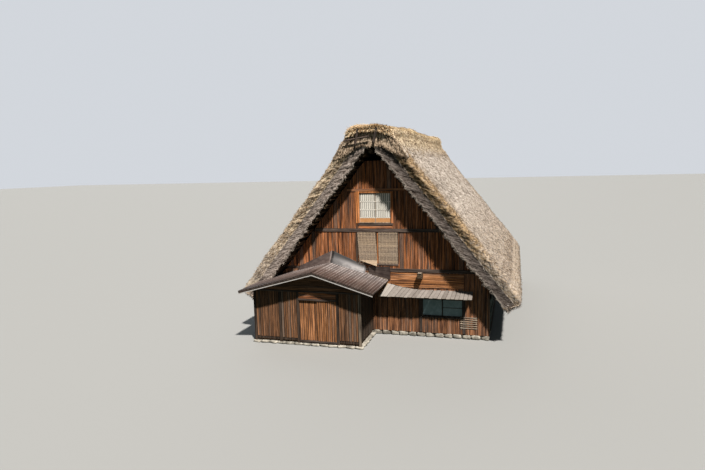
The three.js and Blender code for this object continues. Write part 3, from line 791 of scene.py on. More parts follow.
def close_sheet(rows, columns):
    """Faces that close a sheet along the two long edges that lie on one plane."""
    last = columns - 1
    r = np.arange(1, rows - 2)
    strips = np.stack([r * columns, r * columns + last, (r + 1) * columns + last, (r + 1) * columns], -1)
    top = list(range(columns)) + [2 * columns - 1, columns]
    base = (rows - 1) * columns
    foot = [base + c for c in range(columns)][::-1] + [base - columns, base - 1]
    return strips.tolist() + [top, foot]


def comb(name, points, normal, keep, reach, rng, count, length, radius, finish, slot="thatch", lift=0.5):
    """Straws that start at random points of a skin, where keep allows, and lean along reach."""
    rows, columns = np.nonzero(keep)
    pick = rng.integers(0, len(rows), count)
    r, c = rows[pick], columns[pick]
    out = np.broadcast_to(normal, points.shape)[r, c]
    roots = points[r, c] + rng.normal(0, 0.03, (count, 3)) - out * 0.03
    ahead = np.broadcast_to(reach, points.shape)[r, c]
    ahead = ahead / (np.linalg.norm(ahead, axis=1, keepdims=True) + 1e-9)
    ahead = ahead + out * rng.uniform(0.05, lift, (count, 1)) + rng.normal(0, 0.22, (count, 3))
    shade = 0.55 * rng.random(count) + 0.45 * (0.5 + 0.5 * noise(roots * 2.5, 3, 2))
    put_straws(name, roots, ahead, rng.uniform(*length, count), rng.uniform(*radius, count),
               straw_finish(finish, *STRAWS[finish]), shade, slot=slot)


def build_thatch(settings):
    """Both slopes, each a closed body, with straws standing out of the face, the verges and the eave."""
    under = dark_reed("dark_reed")
    # The right verge takes the darker brown coat and the left the lighter tan: partly the reeds' own colour,
    # partly painted shade on the right verge, which the sun leaves in shadow.
    for side, name, verge in ((1, "right", "brown"), (-1, "left", "tan")):
        material = thatch_finish(f"thatch_{name}", verge)
        points, flat, layers, masks, normal = thatch_sheet(side, settings)
        brown, grey = masks["brown"], masks["grey"]
        sheet = grid_faces(*points.shape[:2]).tolist()
        make_piece(f"thatch_slope_{name}", points, sheet + close_sheet(*points.shape[:2]), material,
                   replaces=[f"thatch_{name}"], slot="thatch", smooth=True, second=(under, len(sheet)),
                   straw=flat.reshape(-1, 3), layers=layers.reshape(-1, 3),
                   **{key: value.ravel() for key, value in masks.items()})
        rng = np.random.default_rng(20 + side)
        u, y, w = flat[..., 0], flat[..., 1], flat[..., 2]
        out = np.sign(y)[..., None] * np.array([0.0, 1.0, 0.0])
        down, hang = slope_vector(side, 1.0, 0.0, 0.0), slope_vector(side, 0.3, 0.0, -1.0)
        level = slope_vector(side, math.cos(LAYER_TILT), 0.0, math.sin(LAYER_TILT))
        face = (brown < 0.6) & (grey < 0.5) & (u > 1.3) & (u < EAVE_START + 0.4)
        comb(f"face_straws_{name}", points, normal, face, down, rng, settings.face_straws,
             (0.08, 0.24), (0.009, 0.017), "straw_pale", lift=0.35)
        comb(f"rim_straws_{name}", points, normal, brown > 0.45, level * 0.7 + out * 0.6, rng,
             settings.rim_straws, (0.05, 0.16), (0.008, 0.016), f"straw_{verge}", lift=0.5)
        # Pale straws along the inner edge: partly paler cut ends, partly a painted highlight.
        comb(f"edge_straws_{name}", points, normal, (w < 0.1) & (u > 0.5) & (u < 11.0), out - level * 0.7,
             rng, settings.fringe_straws, (0.03, 0.10), (0.008, 0.016), "straw_rim", lift=0.2)
        comb(f"cut_straws_{name}", points, normal, (grey > 0.5) & (w > 0.02) & (w < 0.3), out - level * 0.5,
             rng, settings.fringe_straws // 2, (0.03, 0.08), (0.008, 0.016), "straw_grey", lift=0.5)
        comb(f"eave_straws_{name}", points, normal, (u > 10.95) & (brown < 0.5), down + hang * 0.5, rng,
             settings.fringe_straws, (0.05, 0.13), (0.009, 0.018), "straw_pale", lift=0.4)


# Ridge

CAP_LAYERS = {
    "under": ([(0.0, 10.62), (0.4, 10.68), (0.9, 10.56), (1.3, 10.30), (1.76, 10.04), (2.12, 9.93),
               (2.02, 10.12), (1.83, 10.42), (1.66, 10.72), (1.50, 11.06), (1.38, 11.32), (1.26, 11.48),
               (1.1, 11.56), (0.8, 11.60), (0.4, 11.62), (0.0, 11.63)], 0.13),
    "crown": ([(0.0, 11.50), (0.8, 11.48), (1.1, 11.42), (1.28, 11.28), (1.43, 11.08), (1.45, 11.20),
               (1.42, 11.42), (1.32, 11.60), (1.08, 11.72), (0.7, 11.79), (0.0, 11.82)], 0.0),
}
# The middle of the ridge along y, and how far from it the two kinds of end straws start
CAP_MIDDLE, TIP_START, END_START = 1.14, 9.3, 9.6


def cap_ring(half, count):
    """A section's right half and its mirror, spread evenly over a number of points."""
    half = np.array(half)
    closed = np.concatenate([half, half[-2::-1] * (-1, 1)])
    run = distances(closed)
    place = np.linspace(0, run[-1], count, endpoint=False)
    return np.stack([np.interp(place, run, closed[:, i]) for i in (0, 1)], -1)


def cap_layer(layer):
    """A section carried along the ridge and drawn in at both ends, which sags and swells a little."""
    half, inset = CAP_LAYERS[layer]
    ring = cap_ring(half, 96)
    low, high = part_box("ridge_cap")
    y0, y1 = low.y + inset, high.y - inset
    steps = (0.0, 0.03, 0.09, 0.17) if layer == "crown" else (0.0, 0.0, 0.04, 0.08)
    y = np.concatenate([[y0 + s for s in steps], np.arange(y0 + 0.28, y1 - 0.22, 0.11),
                        [y1 - s for s in reversed(steps)]])
    draw = np.ones(len(y))
    draw[:4] = (0.68, 0.87, 0.96, 1.0) if layer == "crown" else (0.8, 0.97, 1.0, 1.0)
    draw[-4:] = draw[3::-1]
    middle = ring.mean(axis=0)
    section = middle + (ring - middle)[None] * draw[:, None, None]
    near = 1 - eased(np.minimum(y - y0, y1 - y), 0.2, 1.8)[:, None]
    section[..., 0] *= 1 - 0.1 * near * eased(section[..., 1], 10.6, 11.1)
    sag = 0.07 * noise(np.stack([y * 0.4, y * 0, y * 0], -1), 3, 2)
    sag = sag - 0.12 * (1 - eased(y, y0, y0 + 6)) + 0.12 * eased(y, y1 - 7, y1 - 1)
    points = np.stack([section[..., 0], np.broadcast_to(y[:, None], section.shape[:2]),
                       section[..., 1] + sag[:, None] * eased(section[..., 1], 10.9, 11.6)], -1)
    along = np.roll(ring, -1, axis=0) - np.roll(ring, 1, axis=0)
    along /= np.linalg.norm(along, axis=1, keepdims=True)
    normal = np.stack([along[:, 1], 0 * along[:, 0], -along[:, 0]], -1)[None]
    down = along * -np.sign(along[:, 1:] + 1e-6)
    down = np.stack([down[:, 0], 0 * down[:, 0], down[:, 1]], -1)[None]
    lumps = 0.04 * noise(points * (1.5, 2, 2), 7, 2) + 0.035 * noise(points * (3, 7, 4), 8, 3)
    points = points + normal * (lumps * eased(points[..., 2], 10.5, 10.8))[..., None]
    end = np.zeros(points.shape[:2])
    end[[0, 1, -2, -1]] = 1.0 if layer == "under" else 0.0
    return points, normal, down, end


def build_ridge(settings):
    """The cap in two layers: an under one that runs out over both slopes, and a golden crown whose shaggy
    ends hang over it."""
    finish = cap_finish("ridge_straw")
    rng = np.random.default_rng(61)
    for layer in CAP_LAYERS:
        points, normal, down, end = cap_layer(layer)
        rows, columns = points.shape[:2]
        faces = grid_faces(rows, columns, wrap=True).tolist()
        faces += [list(range(columns)), [(rows - 1) * columns + c for c in range(columns)]]
        bright = eased(points[..., 2], 11.38, 11.72)
        foot = 1 - eased(points[..., 2], 10.0, 11.0)
        piece = make_piece(f"ridge_{layer}", points, faces, finish, slot="ridge_straw", smooth=True,
                           replaces=["ridge_cap"] if layer == "crown" else (), high=bright.ravel(),
                           end=end.ravel(), foot=foot.ravel())
        flat = [*range(columns), *range(len(faces) - columns - 2, len(faces))]
        for k in flat:
            piece.data.polygons[k].use_smooth = False
        z = points[..., 2]
        outer = normal[..., 2] > -0.2
        out = np.sign(points[..., 1:2]) * np.array([0.0, 1.0, 0.0])
        along = np.abs(points[..., 1] - CAP_MIDDLE)
        if layer == "crown":
            comb("crown_straws", points, normal, (z > 11.1) & outer, down, rng, settings.cap_straws,
                 (0.06, 0.17), (0.008, 0.018), "straw_gold", "ridge_straw", 0.7)
            # The crown's fringe and end straws are near-white: painted sunlight on the straw ends.
            comb("crown_fringe", points, normal, (z > 11.35) & (along > TIP_START), out + down * 0.6, rng,
                 settings.cap_straws // 3, (0.08, 0.24), (0.010, 0.02), "straw_tip", "ridge_straw", 0.6)
            comb("crown_ends", points, normal, along > END_START, out + np.array([0.0, 0.0, -0.5]), rng,
                 settings.cap_straws // 4, (0.06, 0.16), (0.010, 0.02), "straw_tip", "ridge_straw", 0.4)
        else:
            comb("cap_skirts", points, normal, (z < 11.62) & outer, down, rng, settings.cap_straws,
                 (0.08, 0.22), (0.010, 0.02), "straw_cap", "ridge_straw", 0.4)
            comb("cap_ends", points, normal, end > 0.2, out * 0.5 + np.array([0.0, 0.0, -1.0]), rng,
                 settings.cap_straws // 3, (0.06, 0.16), (0.010, 0.02), "straw_bark", "ridge_straw", 0.4)


def build_ridge_poles():
    """Two leaning poles and a cross pole lashed over each end of the cap, and pale pole ends at the peak."""
    bars = [((-0.72, 10.72), (-0.58, 11.52), 0.058), ((0.28, 10.80), (0.46, 11.56), 0.066),
            ((-1.38, 10.92), (0.02, 11.12), 0.042)]
    tips = [(-0.16, 10.50, 0.05), (0.38, 10.20, 0.05), (0.64, 9.86, 0.05)]
    for end, turn, mouth, wall in (("front", 1, VERGE_FRONT + 0.1, FRONT),
                                   ("back", -1, VERGE_BACK - 0.1, BACK)):
        low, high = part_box(f"ridge_poles_{end}")
        y = (low.y + high.y) / 2 - turn * 0.02
        points, faces = poles([(turn * a[0], y, a[1]) for a, _, _ in bars],
                              [(turn * b[0], y, b[1]) for _, b, _ in bars], [r for _, _, r in bars], 10)
        make_piece(f"lashed_poles_{end}", points, faces, wood("dark_timber"),
                   replaces=[f"ridge_poles_{end}"], slot="dark_timber", tone=np.repeat([0.1, 0.3, 0.5], 20))
        points, faces = poles([(turn * x, mouth, z) for x, z, _ in tips],
                              [(turn * x, wall, z) for x, z, _ in tips], [r for _, _, r in tips], 12)
        make_piece(f"peak_poles_{end}", points, faces, wood("grey_timber", "y"), slot="log",
                   tone=np.repeat([0.1, 0.3, 0.5], 24))


# Gable boards

def columns(x0, x1, width, rng):
    """Board edges from x0 to x1, all near one width."""
    count = max(1, round((x1 - x0) / width))
    cuts = np.linspace(x0, x1, count + 1)
    cuts[1:-1] += rng.uniform(-0.16, 0.16, count - 1) * width
    return pairs(cuts)


def name_seed(name):
    """A repeatable seed from a name."""
    return sum((i + 1) * ord(c) for i, c in enumerate(name))


def under_thatch(points):
    """Cuts board ends to the straight line that falls at the roof's pitch."""
    points[..., 2] = np.minimum(points[..., 2], BOARD_LINE - PITCH * np.abs(points[..., 0]))
    return points


def board_wall(name, node, window, y_face, out, kind, settings):
    """Upright boards over one storey of a gable, around its window."""
    rng = np.random.default_rng(name_seed(name))
    low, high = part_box(node)
    (left, right), (sill, head) = window
    half_gap = settings.board_gap / 2
    boxes = []
    for x0, x1 in ((low.x, left), (left, right), (right, high.x)):
        for a, b in columns(x0, x1, settings.board_width, rng):
            inside = a >= left - 0.01 and b <= right + 0.01
            y0, y1 = sorted((y_face, y_face + out * rng.uniform(0.016, 0.024)))
            nearest = min(abs(a), abs(b)) if a * b > 0 else 0
            spans = ((low.z, sill), (head, high.z)) if inside else ((low.z, high.z),)
            for z0, z1 in spans:
                if z1 - z0 >= 0.03 and BOARD_LINE - PITCH * nearest >= z0 + 0.04:
                    boxes.append(((a + half_gap, y0, z0), (b - half_gap, y1, z1)))
    put_blocks(name, boxes, wood(kind), tone=rng.random(len(boxes)), chamfer=0.005, shape=under_thatch,
               slot="wall_boards")


def build_gables(settings):
    """Boards on the three storeys of both gables."""
    for end, y, out in (("front", FRONT, -1), ("back", BACK, 1)):
        for storey in ("ground", "attic", "loft"):
            (x0, x1), heights = WINDOWS[storey]
            window = ((x0, x1) if end == "front" else (-x1, -x0), heights)
            kind = "low_boards" if storey == "ground" else "gable_boards"
            board_wall(f"{end}_boards_{storey}", f"{end}_wall_{storey}", window, y, out, kind, settings)


# Timber pieces that follow a node's own box

PLANK_TONES = (0.35, 0.62, 0.2)
PLANK_LENGTHS = 24
# The lowest the planks reach, as x and z
PLANK_FOOT = ((0.82, 1.16, 1.51, 1.96), (3.0, 2.89, 2.81, 2.8))


def replace_block(node, material, slot="dark_timber", chamfer=0.008):
    """A squared timber with cut edges in the place of a plain one."""
    put_blocks(f"{node}_timber", [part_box(node)], material, chamfer=chamfer, replaces=[node], slot=slot)


def dress(material, slot, *nodes):
    """Gives nodes of the frame a finish in place of their plain one."""
    for node in nodes:
        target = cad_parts[node]
        target.data.materials.clear()
        target.data.materials.append(material)


def build_timber():
    """Posts, sills, the beam end with its grey cap, the planks under the first band and the slat rack."""
    for node in ("annex_corner_post_left", "annex_door_post_left", "annex_door_post_right"):
        replace_block(node, wood("post_timber"))
    replace_block("annex_corner_post_right", wood("corner_post"), "grey_timber")
    replace_block("door_sill", wood("dark_timber", "x"))
    replace_block("beam_end", wood("smoked_log", "y"), chamfer=0.012)
    low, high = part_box("beam_end")
    cap = panel(low.x + 0.03, high.x - 0.03, high.z + 0.001, high.z + 0.035, low.y - 0.03, low.y + 0.17)
    put_blocks("beam_cap", [cap], wood("grey_timber", "y"), chamfer=0.01, slot="grey_timber")
    low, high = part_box("plank_panel")
    rows = np.linspace(low.z, high.z, len(PLANK_TONES) + 1)
    cuts = np.linspace(low.x, high.x, PLANK_LENGTHS + 1)
    boxes = [panel(a, b, z0 + 0.003, z1 - 0.003, low.y - 0.018, high.y)
             for z0, z1 in pairs(rows) for a, b in pairs(cuts)]

    def lapped(points):
        """Leans each plank out at its foot and lets the lowest follow the awning's rising end."""
        share = (points[..., 2] - points[..., 2].min(1, keepdims=True)) / (rows[1] - rows[0])
        front = points[..., 1] < low.y + 0.012
        points[..., 1] += np.where(front, 0.014 * share, 0)
        points[..., 2] = np.maximum(points[..., 2], np.interp(points[..., 0], *PLANK_FOOT))
        return points

    put_blocks("front_planks", boxes, wood("plank_boards", "x"), tone=np.repeat(PLANK_TONES, PLANK_LENGTHS),
               chamfer=0.0005, shape=lapped, replaces=["plank_panel"], slot="wall_boards")
    dress(wood("grey_timber", "x"), "grey_timber", "slat_rack")


# Windows

def bars_in(x_range, z_range, upright, level, y, width=0.02, depth=0.014):
    """Thin bars across an opening: evenly spread uprights and level ones."""
    half = width / 2
    xs = np.linspace(*x_range, upright + 2)[1:-1]
    zs = np.linspace(*z_range, level + 2)[1:-1]
    boxes = [panel(x - half, x + half, *z_range, y - depth, y) for x in xs]
    return boxes + [panel(*x_range, z - half, z + half, y - depth, y) for z in zs]


def frame_in(x_range, z_range, y, width, depth):
    """Two stiles and two rails round an opening."""
    (x0, x1), (z0, z1) = x_range, z_range
    spans = ((x0, x0 + width, z0, z1), (x1 - width, x1, z0, z1),
             (x0 + width, x1 - width, z0, z0 + width), (x0 + width, x1 - width, z1 - width, z1))
    return [panel(*span, y - depth, y) for span in spans]


def put_pair(name, boxes, material, slot="wall_boards", chamfer=0.002):
    """Blocks on the front gable and, turned half round the middle of the house, on the back one."""
    middle = FRONT + BACK
    turned = [((-h[0], middle - h[1], l[2]), (-l[0], middle - l[1], h[2])) for l, h in boxes]
    put_blocks(f"front_{name}", boxes, material, chamfer=chamfer, slot=slot)
    put_blocks(f"back_{name}", turned, material, chamfer=chamfer, slot=slot)


def build_shoji(settings):
    """The loft window's two shoji: paper from the frame, thin white bars, stiles and a boarded foot."""
    (x0, x1), (z0, z1) = WINDOWS["loft"]
    middle = (x0 + x1) / 2
    foot, stile, lap = z0 + 0.27, 0.035, 0.03
    trim, bars, feet = [], [], []
    for a, b, y in ((x0, middle + lap, FRONT + 0.024), (middle - lap, x1, FRONT + 0.05)):
        trim += frame_in((a, b), (z0, z1), y, stile, 0.02)
        a, b = a + stile, b - stile
        feet.append(panel(a, b, z0 + stile, foot, y - 0.012, y))
        bars += bars_in((a, b), (foot, z1 - stile), settings.shoji_bars, 2, y, 0.044)
        bars.append(panel(a, b, foot, foot + 0.03, y - 0.014, y))
    put_pair("shoji_frames", trim, wood("pale_trim"))
    put_pair("shoji_feet", feet, plain("shoji_foot"))
    put_pair("shoji_bars", bars, plain("white_bars"), chamfer=0.001)
    put_pair("loft_sill", [panel(x0 - 0.1, x1 + 0.1, z0 - 0.13, z0, FRONT - 0.055, FRONT + 0.02)],
             wood("dark_timber", "x"), "dark_timber")
    put_pair("loft_apron", [panel(x0 - 0.04, x1 + 0.04, z0 - 0.3, z0 - 0.14, FRONT - 0.03)],
             wood("gable_boards", "x"))
    put_pair("loft_jambs", [panel(x0 - 0.2, x0, z0 - 0.02, z1 + 0.1, FRONT - 0.045),
                            panel(x0 - 0.14, x1 + 0.12, z1, z1 + 0.08, FRONT - 0.04)], wood("fresh_trim"))
    put_pair("loft_right_jamb", [panel(x1, x1 + 0.13, z0 - 0.02, z1 + 0.08, FRONT - 0.045)],
             wood("gable_boards"))
    put_pair("loft_lintel", [panel(x0 - 0.7, x1 + 1.0, z1 + 0.1, z1 + 0.24, FRONT - 0.05, FRONT - 0.02)],
             wood("low_boards", "x"))


def build_attic_window():
    """The attic window behind the blinds: shoji bars, an orange middle post and a dark sill. Its jambs and a
    strip left of the middle post are dark timber, painted shade.
    """
    (x0, x1), heights = WINDOWS["attic"]
    middle = (x0 + x1) / 2
    bars = []
    for span in ((x0, middle), (middle, x1)):
        bars += frame_in(span, heights, SASH_Y, 0.04, 0.016) + bars_in(span, heights, 6, 4, SASH_Y)
    put_pair("attic_shoji_bars", bars, wood("fresh_trim"))
    # The jambs and the strip beside the middle post take dark timber: painted shade.
    jambs = ((x0 - 0.12, x0, 0.04), (x1, x1 + 0.12, 0.04), (-0.01, 0.06, 0.02))
    put_pair("attic_jambs", [panel(a, b, *heights, FRONT - proud) for a, b, proud in jambs],
             wood("post_timber"), "dark_timber")
    put_pair("attic_mullion", [panel(0.06, 0.11, *heights, FRONT - 0.028)], wood("fresh_trim"))
    put_pair("attic_sill", [panel(x0 - 0.1, x1 + 0.1, heights[0] - 0.1, heights[0], FRONT - 0.05)],
             wood("dark_timber", "x"), "dark_timber")


def build_ground_window():
    """The ground floor window: a dark frame, two panes and one low bar in the right one, and a ledge."""
    (x0, x1), (z0, z1) = WINDOWS["ground"]
    middle = (x0 + x1) / 2
    boxes = []
    for span in ((x0, middle + 0.03), (middle - 0.03, x1)):
        boxes += frame_in(span, (z0, z1), SASH_Y, 0.045, 0.02)
    boxes += [panel(middle, x1 - 0.04, 1.69, 1.72, SASH_Y - 0.02, SASH_Y),
              panel(x0 - 0.16, x0, 0.3, 2.6, FRONT - 0.05), panel(x1, x1 + 0.14, 0.3, 2.6, FRONT - 0.05),
              panel(x0 - 0.1, x1 + 0.1, z0 - 0.07, z0, FRONT - 0.07)]
    put_pair("ground_window_frame", boxes, wood("dark_timber"), "dark_timber")


def build_glazing():
    """The sliding glass along both sides: stiles every half ken, rails, a boarded foot and a track. Each
    bar has its place along y, its heights and how far it stands out of the glass."""
    for side, name in SIDES:
        low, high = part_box(f"{name}_glazing")
        x = high.x if side > 0 else low.x
        cuts = np.linspace(low.y, high.y, round((high.y - low.y) / HALF_KEN) + 1)
        bars = [(max(low.y, y - 0.03), min(high.y, y + 0.03), low.z, high.z, 0.022) for y in cuts]
        for z0, z1 in ((low.z, low.z + 0.3), (high.z - 0.05, high.z), (1.25, 1.28)):
            bars += [(a + 0.03, b - 0.03, z0, z1, 0.016) for a, b in pairs(cuts)]
        for z0, z1 in ((low.z - 0.07, low.z - 0.002), (high.z + 0.002, high.z + 0.09)):
            bars.append((low.y - 0.05, high.y + 0.05, z0, z1, 0.05))
        boxes = []
        for y0, y1, z0, z1, proud in bars:
            a, b = sorted((x, x + side * proud))
            boxes.append(((a, y0, z0), (b, y1, z1)))
        put_blocks(f"{name}_glazing_frames", boxes, wood("dark_timber"), chamfer=0.002, slot="dark_timber")


# Blinds

THREADS = 6


def reed_blind(side, path, settings, fold=None, lean=0.0):
    """Thin reeds side by side down a path in (y, z), bound by upright threads, with a rod at the top and one
    at the foot unless it folds. Below the fold, which is a distance down the path, the left ends are cut
    off along a slant. Lean is how far the foot swings to the right."""
    name, node = f"reed_screen_{side}", f"reed_blind_{side}"
    left, right = [corner.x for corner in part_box(node)]
    path = np.array(path)
    run = distances(path)
    count = int(run[-1] / settings.reed_pitch)
    place = np.linspace(0.01, run[-1] - 0.01, count)
    rng = np.random.default_rng(name_seed(name))
    cut = np.zeros(count) if fold is None else np.clip((place - fold) / (run[-1] - fold), 0, 0.94)
    y = np.interp(place, run, path[:, 0]) + rng.normal(0, 0.0012, count)
    z = np.interp(place, run, path[:, 1])
    wave = rng.uniform(0, 0.012, (2, count))
    swing = lean * place / run[-1]
    starts = np.stack([mixed(left, right, cut) + wave[0] + swing, y, z], -1)
    ends = np.stack([right - wave[1] + swing, y, z], -1)
    tone = np.clip(0.5 + 0.5 * noise(np.stack([place * 9, place * 0, place * 0], -1), 2, 2), 0, 1)
    tone = 0.3 * tone + 0.5 * rng.random(count) + 0.1 + 0.35 * (cut > 0)
    rods = path[[0, -1]] if fold is None else path[:1]
    foot = len(path) - 1 if fold is None else int(np.searchsorted(run, fold))
    swing = lean * run / run[-1]
    knots = np.array([[(x + swing[k], path[k][0] - 0.008, path[k][1]) for k in range(foot + 1)]
                      for x in np.linspace(left + 0.06, right - 0.06, THREADS)])
    parts = [(starts, ends, settings.reed_pitch * 0.56, 5, tone),
             ([(left - 0.02, *r) for r in rods], [(right + 0.02, *r) for r in rods], 0.014, 8,
              np.full(len(rods), 0.1)),
             (knots[:, :-1].reshape(-1, 3), knots[:, 1:].reshape(-1, 3), 0.007, 4, np.ones(THREADS * foot))]
    points, faces, tones = [], [], []
    for start, end, radius, sides, tone in parts:
        part, part_faces = poles(start, end, radius, sides)
        base = sum(len(p) for p in points)
        points.append(part.reshape(-1, 3))
        faces += [[v + base for v in face] for face in part_faces]
        tones.append(np.repeat(tone, part.shape[1]))
    make_piece(name, np.concatenate(points), faces, reed_finish("reed"), replaces=[node], slot="reed",
               tone=np.concatenate(tones))


def build_blinds(settings):
    """Two reed blinds under the second band. The left one's foot lies out over the flashing below."""
    low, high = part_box("reed_blind_right")
    y = (low.y + high.y) / 2
    reed_blind("right", [(y, high.z - 0.016), (y, low.z)], settings)
    low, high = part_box("reed_blind_left")
    y = high.y - 0.0075
    reed_blind("left", [(y, high.z - 0.016), (y - 0.004, 5.0), (y - 0.012, 4.5), (y - 0.03, 4.28),
                        (y - 0.12, 4.13), (y - 0.25, 3.98)], settings, 1.6, 0.12)


# Awning

# How the awning's back edge rises over the annex, as x and z
AWNING_BACK = ((0.68, 1.16, 1.51, 1.96, 2.5, 5.37), (2.98, 2.87, 2.79, 2.72, 2.67, 2.67))
AWNING_LEFT = {"front": 0.32, "back": 0.68}
AWNING_GAP = 0.005
# The leftmost boards are bleached, with a tone past the usual 0 to 1
PALE_BOARDS, PALE_TONE = 2, 1.1


def build_awning(settings):
    """Pale boards side by side down the fall, each set a little high or low, on the frame's own arms. A
    board is a ring of four points: back left, back right, front right, front left."""
    low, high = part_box("awning")
    count = settings.awning_boards
    rng = np.random.default_rng(12)
    share = np.linspace(0, 1, count + 1)
    tops = []
    for i in range(count):
        lift = 0.004 + 0.012 * (i % 2) + rng.uniform(0, 0.012)
        reach = rng.uniform(-0.03, 0.015)
        near, far = share[i], share[i + 1] - AWNING_GAP
        back = [mixed(AWNING_LEFT["back"], high.x, t) for t in (near, far)]
        front = [mixed(AWNING_LEFT["front"], high.x, t) for t in (far, near)]
        tops.append([(x, high.y, np.interp(x, *AWNING_BACK) + lift) for x in back]
                    + [(x, low.y + reach, low.z + 0.03 + lift) for x in front])
    tops = np.array(tops)
    tone = 0.25 + 0.4 * rng.random(count)
    tone[:PALE_BOARDS] = PALE_TONE
    seams = tops + [(-0.012, 0, -0.029), (0.012, 0, -0.029), (0.012, 0.03, -0.029), (-0.012, 0.03, -0.029)]
    hexes("awning_underside", seams, seams - (0, 0, 0.012), wood("dark_timber", "y"), slot="awning_boards")
    hexes("awning_boards", tops, tops - (0, 0, 0.028), plain("awning_boards"), tone, replaces=["awning"],
          slot="awning_boards")
    tips = tops[:, [3, 2, 2, 3]] + [(0.006, -0.004, -0.003), (-0.006, -0.004, -0.003),
                                    (-0.006, -0.004, -0.03), (0.006, -0.004, -0.03)]
    hexes("awning_tips", tips, tips + (0, 0.003, 0), plain("awning_ends"), tone, slot="awning_boards")
    ends = ((AWNING_LEFT["front"] - 0.01, low.y + 0.03, 2.36, 2.45),
            (AWNING_LEFT["back"] - 0.01, high.y, 2.60, 3.0))
    front, back = [[[(x - 0.03, y, z0), (x, y, z0), (x, y, z1), (x - 0.03, y, z1)]] for x, y, z0, z1 in ends]
    hexes("awning_end_board", front, back, plain("awning_side"), [0.5], slot="awning_boards")


# Annex

# Where the boards of the front stop for the post in them, and their foot
POST_GAP = (-4.825, -4.675)
BOARD_FOOT = 0.37
# Heights of the plate, of the board over the doors, painted partly as sunlit, and of the rail under it
PLATE, DOOR_HEAD, DOOR_RAIL = (2.93, 3.03), (2.60, 2.925), (2.495, 2.595)
# Level boards in the gable: first foot, end and pitch
GABLE_ROWS = (3.03, 4.05, 0.17)
# How far the roof's edge stands before the gable
ROOF_REACH = 0.655


def annex_roof_z(x, lift=0.0):
    """The annex roof's upper face at x."""
    fall = np.where(np.asarray(x) > ANNEX_RIDGE[0], ANNEX_FALL[1], ANNEX_FALL[-1])
    return ANNEX_RIDGE[1] + lift - fall * np.abs(x - ANNEX_RIDGE[0])


def build_annex_roof(settings):
    """Sheet courses lapped down each slope with a worn bead on each lap, a ridge roll and the edge strips.
    A section is a list of distances down the slope and heights over it."""
    # Both finishes take the sheen: painted lighter towards the back and the ridge, and painted shade on the
    # left slope.
    paint = sheet("roof_sheet", (0.25, 0.1, 0.25), sheen=True)
    worn = sheet("roof_bead", (0.3, 0.5, 0.3), sheen=True)
    ridge_x, ridge_z = ANNEX_RIDGE
    for side, name in SIDES:
        low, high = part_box(f"annex_roof_{name}")
        width = abs((high.x if side > 0 else low.x) - ridge_x)
        fronts, backs = {"courses": [], "beads": []}, {"courses": [], "beads": []}
        for a, b in pairs(np.linspace(0, width, round(width / settings.course) + 1)):
            back = high.y if ridge_x + side * b > -6.0 else VERGE_FRONT - 0.012
            sections = {
                "courses": [(a, 0.002), (b, 0.014), (b, -0.006), (a, -0.02)],
                "beads": [(b - 0.02, 0.012), (b - 0.018, 0.027), (b, 0.026), (b + 0.003, 0.006)],
            }
            for kind, section in sections.items():
                ring = [(ridge_x + side * d, ridge_z - ANNEX_FALL[side] * d + lift) for d, lift in section]
                fronts[kind].append([(x, low.y - 0.01, z) for x, z in ring])
                backs[kind].append([(x, back, z) for x, z in ring])
        for kind, material in (("courses", paint), ("beads", worn)):
            hexes(f"roof_{kind}_{name}", fronts[kind], backs[kind], material, slot="sheet_roof")
        dress(wood("dark_timber", "y"), "sheet_roof", f"annex_roof_{name}")
    low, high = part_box("annex_roof_right")
    points, faces = poles([(ridge_x, low.y - 0.015, ridge_z + 0.012)],
                          [(ridge_x, high.y - 0.3, ridge_z + 0.012)], 0.028, 12)
    make_piece("ridge_roll", points, faces, paint, slot="sheet_roof", tone=np.full(24, 0.6))
    front = ANNEX_FRONT - ROOF_REACH
    both = [(ridge_x, 0.655), (ridge_x, -6.86)]
    sloped_strips("barge_board", both, (front, front + 0.03), -0.02, 0.12, wood("dark_timber", "x"),
                  "dark_timber")
    sloped_strips("drip_strip", both, (front - 0.017, front + 0.005), -0.125, 0.045, plain("drip_strip"),
                  "grey_timber")
    sloped_strips("back_strip", [(-0.5, 0.66)], (FRONT - 0.085, FRONT - 0.035), 0.06, 0.04,
                  wood("grey_timber", "x"), "grey_timber")
    build_wall_sheet()


def sloped_strips(name, spans, depths, top, height, material, slot):
    """Strips that follow the annex roof from one x to another, top above its upper face."""
    y0, y1 = depths
    rings = []
    for x, x_end in [(x, span[1]) for span in spans for x in span]:
        z = float(annex_roof_z(mixed(x, x_end, 0.001), top))
        rings.append([(x, y0, z), (x, y1, z), (x, y1, z - height), (x, y0, z - height)])
    hexes(name, rings[::2], rings[1::2], material, np.full(len(spans), 0.5), slot=slot)


def build_wall_sheet():
    """Three lapped sheets on the wall over the annex roof's low end, under the right blind."""
    x0, x1, top = -0.44, 0.8, 3.93
    left, right = float(annex_roof_z(x0)) + 0.01, 3.2
    fronts, backs = [], []
    for a, b in pairs(np.linspace(0, 1, 4)):
        ring = [(x0, mixed(left, top, a)), (x1, mixed(right, top, a)),
                (x1, mixed(right, top, b)), (x0, mixed(left, top, b))]
        proud = (0.088, 0.088, 0.074, 0.074)
        fronts.append([(x, FRONT - p, z) for (x, z), p in zip(ring, proud)])
        backs.append([(x, FRONT - 0.066, z) for x, z in ring])
    hexes("wall_sheet", fronts, backs, sheet("wall_sheet", (0.25, 0.1, 0.25)), [0.2, 0.4, 0.1],
          slot="sheet_roof")


# Where each flashing starts and stops, as x, rise up the wall and reach over the roof, and how many times
# brighter its painted highlight makes it
FLASHINGS = {
    "right": ((-2.6, 0.66, 0.48), (-0.6, 0.40, 0.34), 6.5),
    "left": ((-4.7, 0.24, 0.24), (-2.6, 0.66, 0.48), 1.0),
}


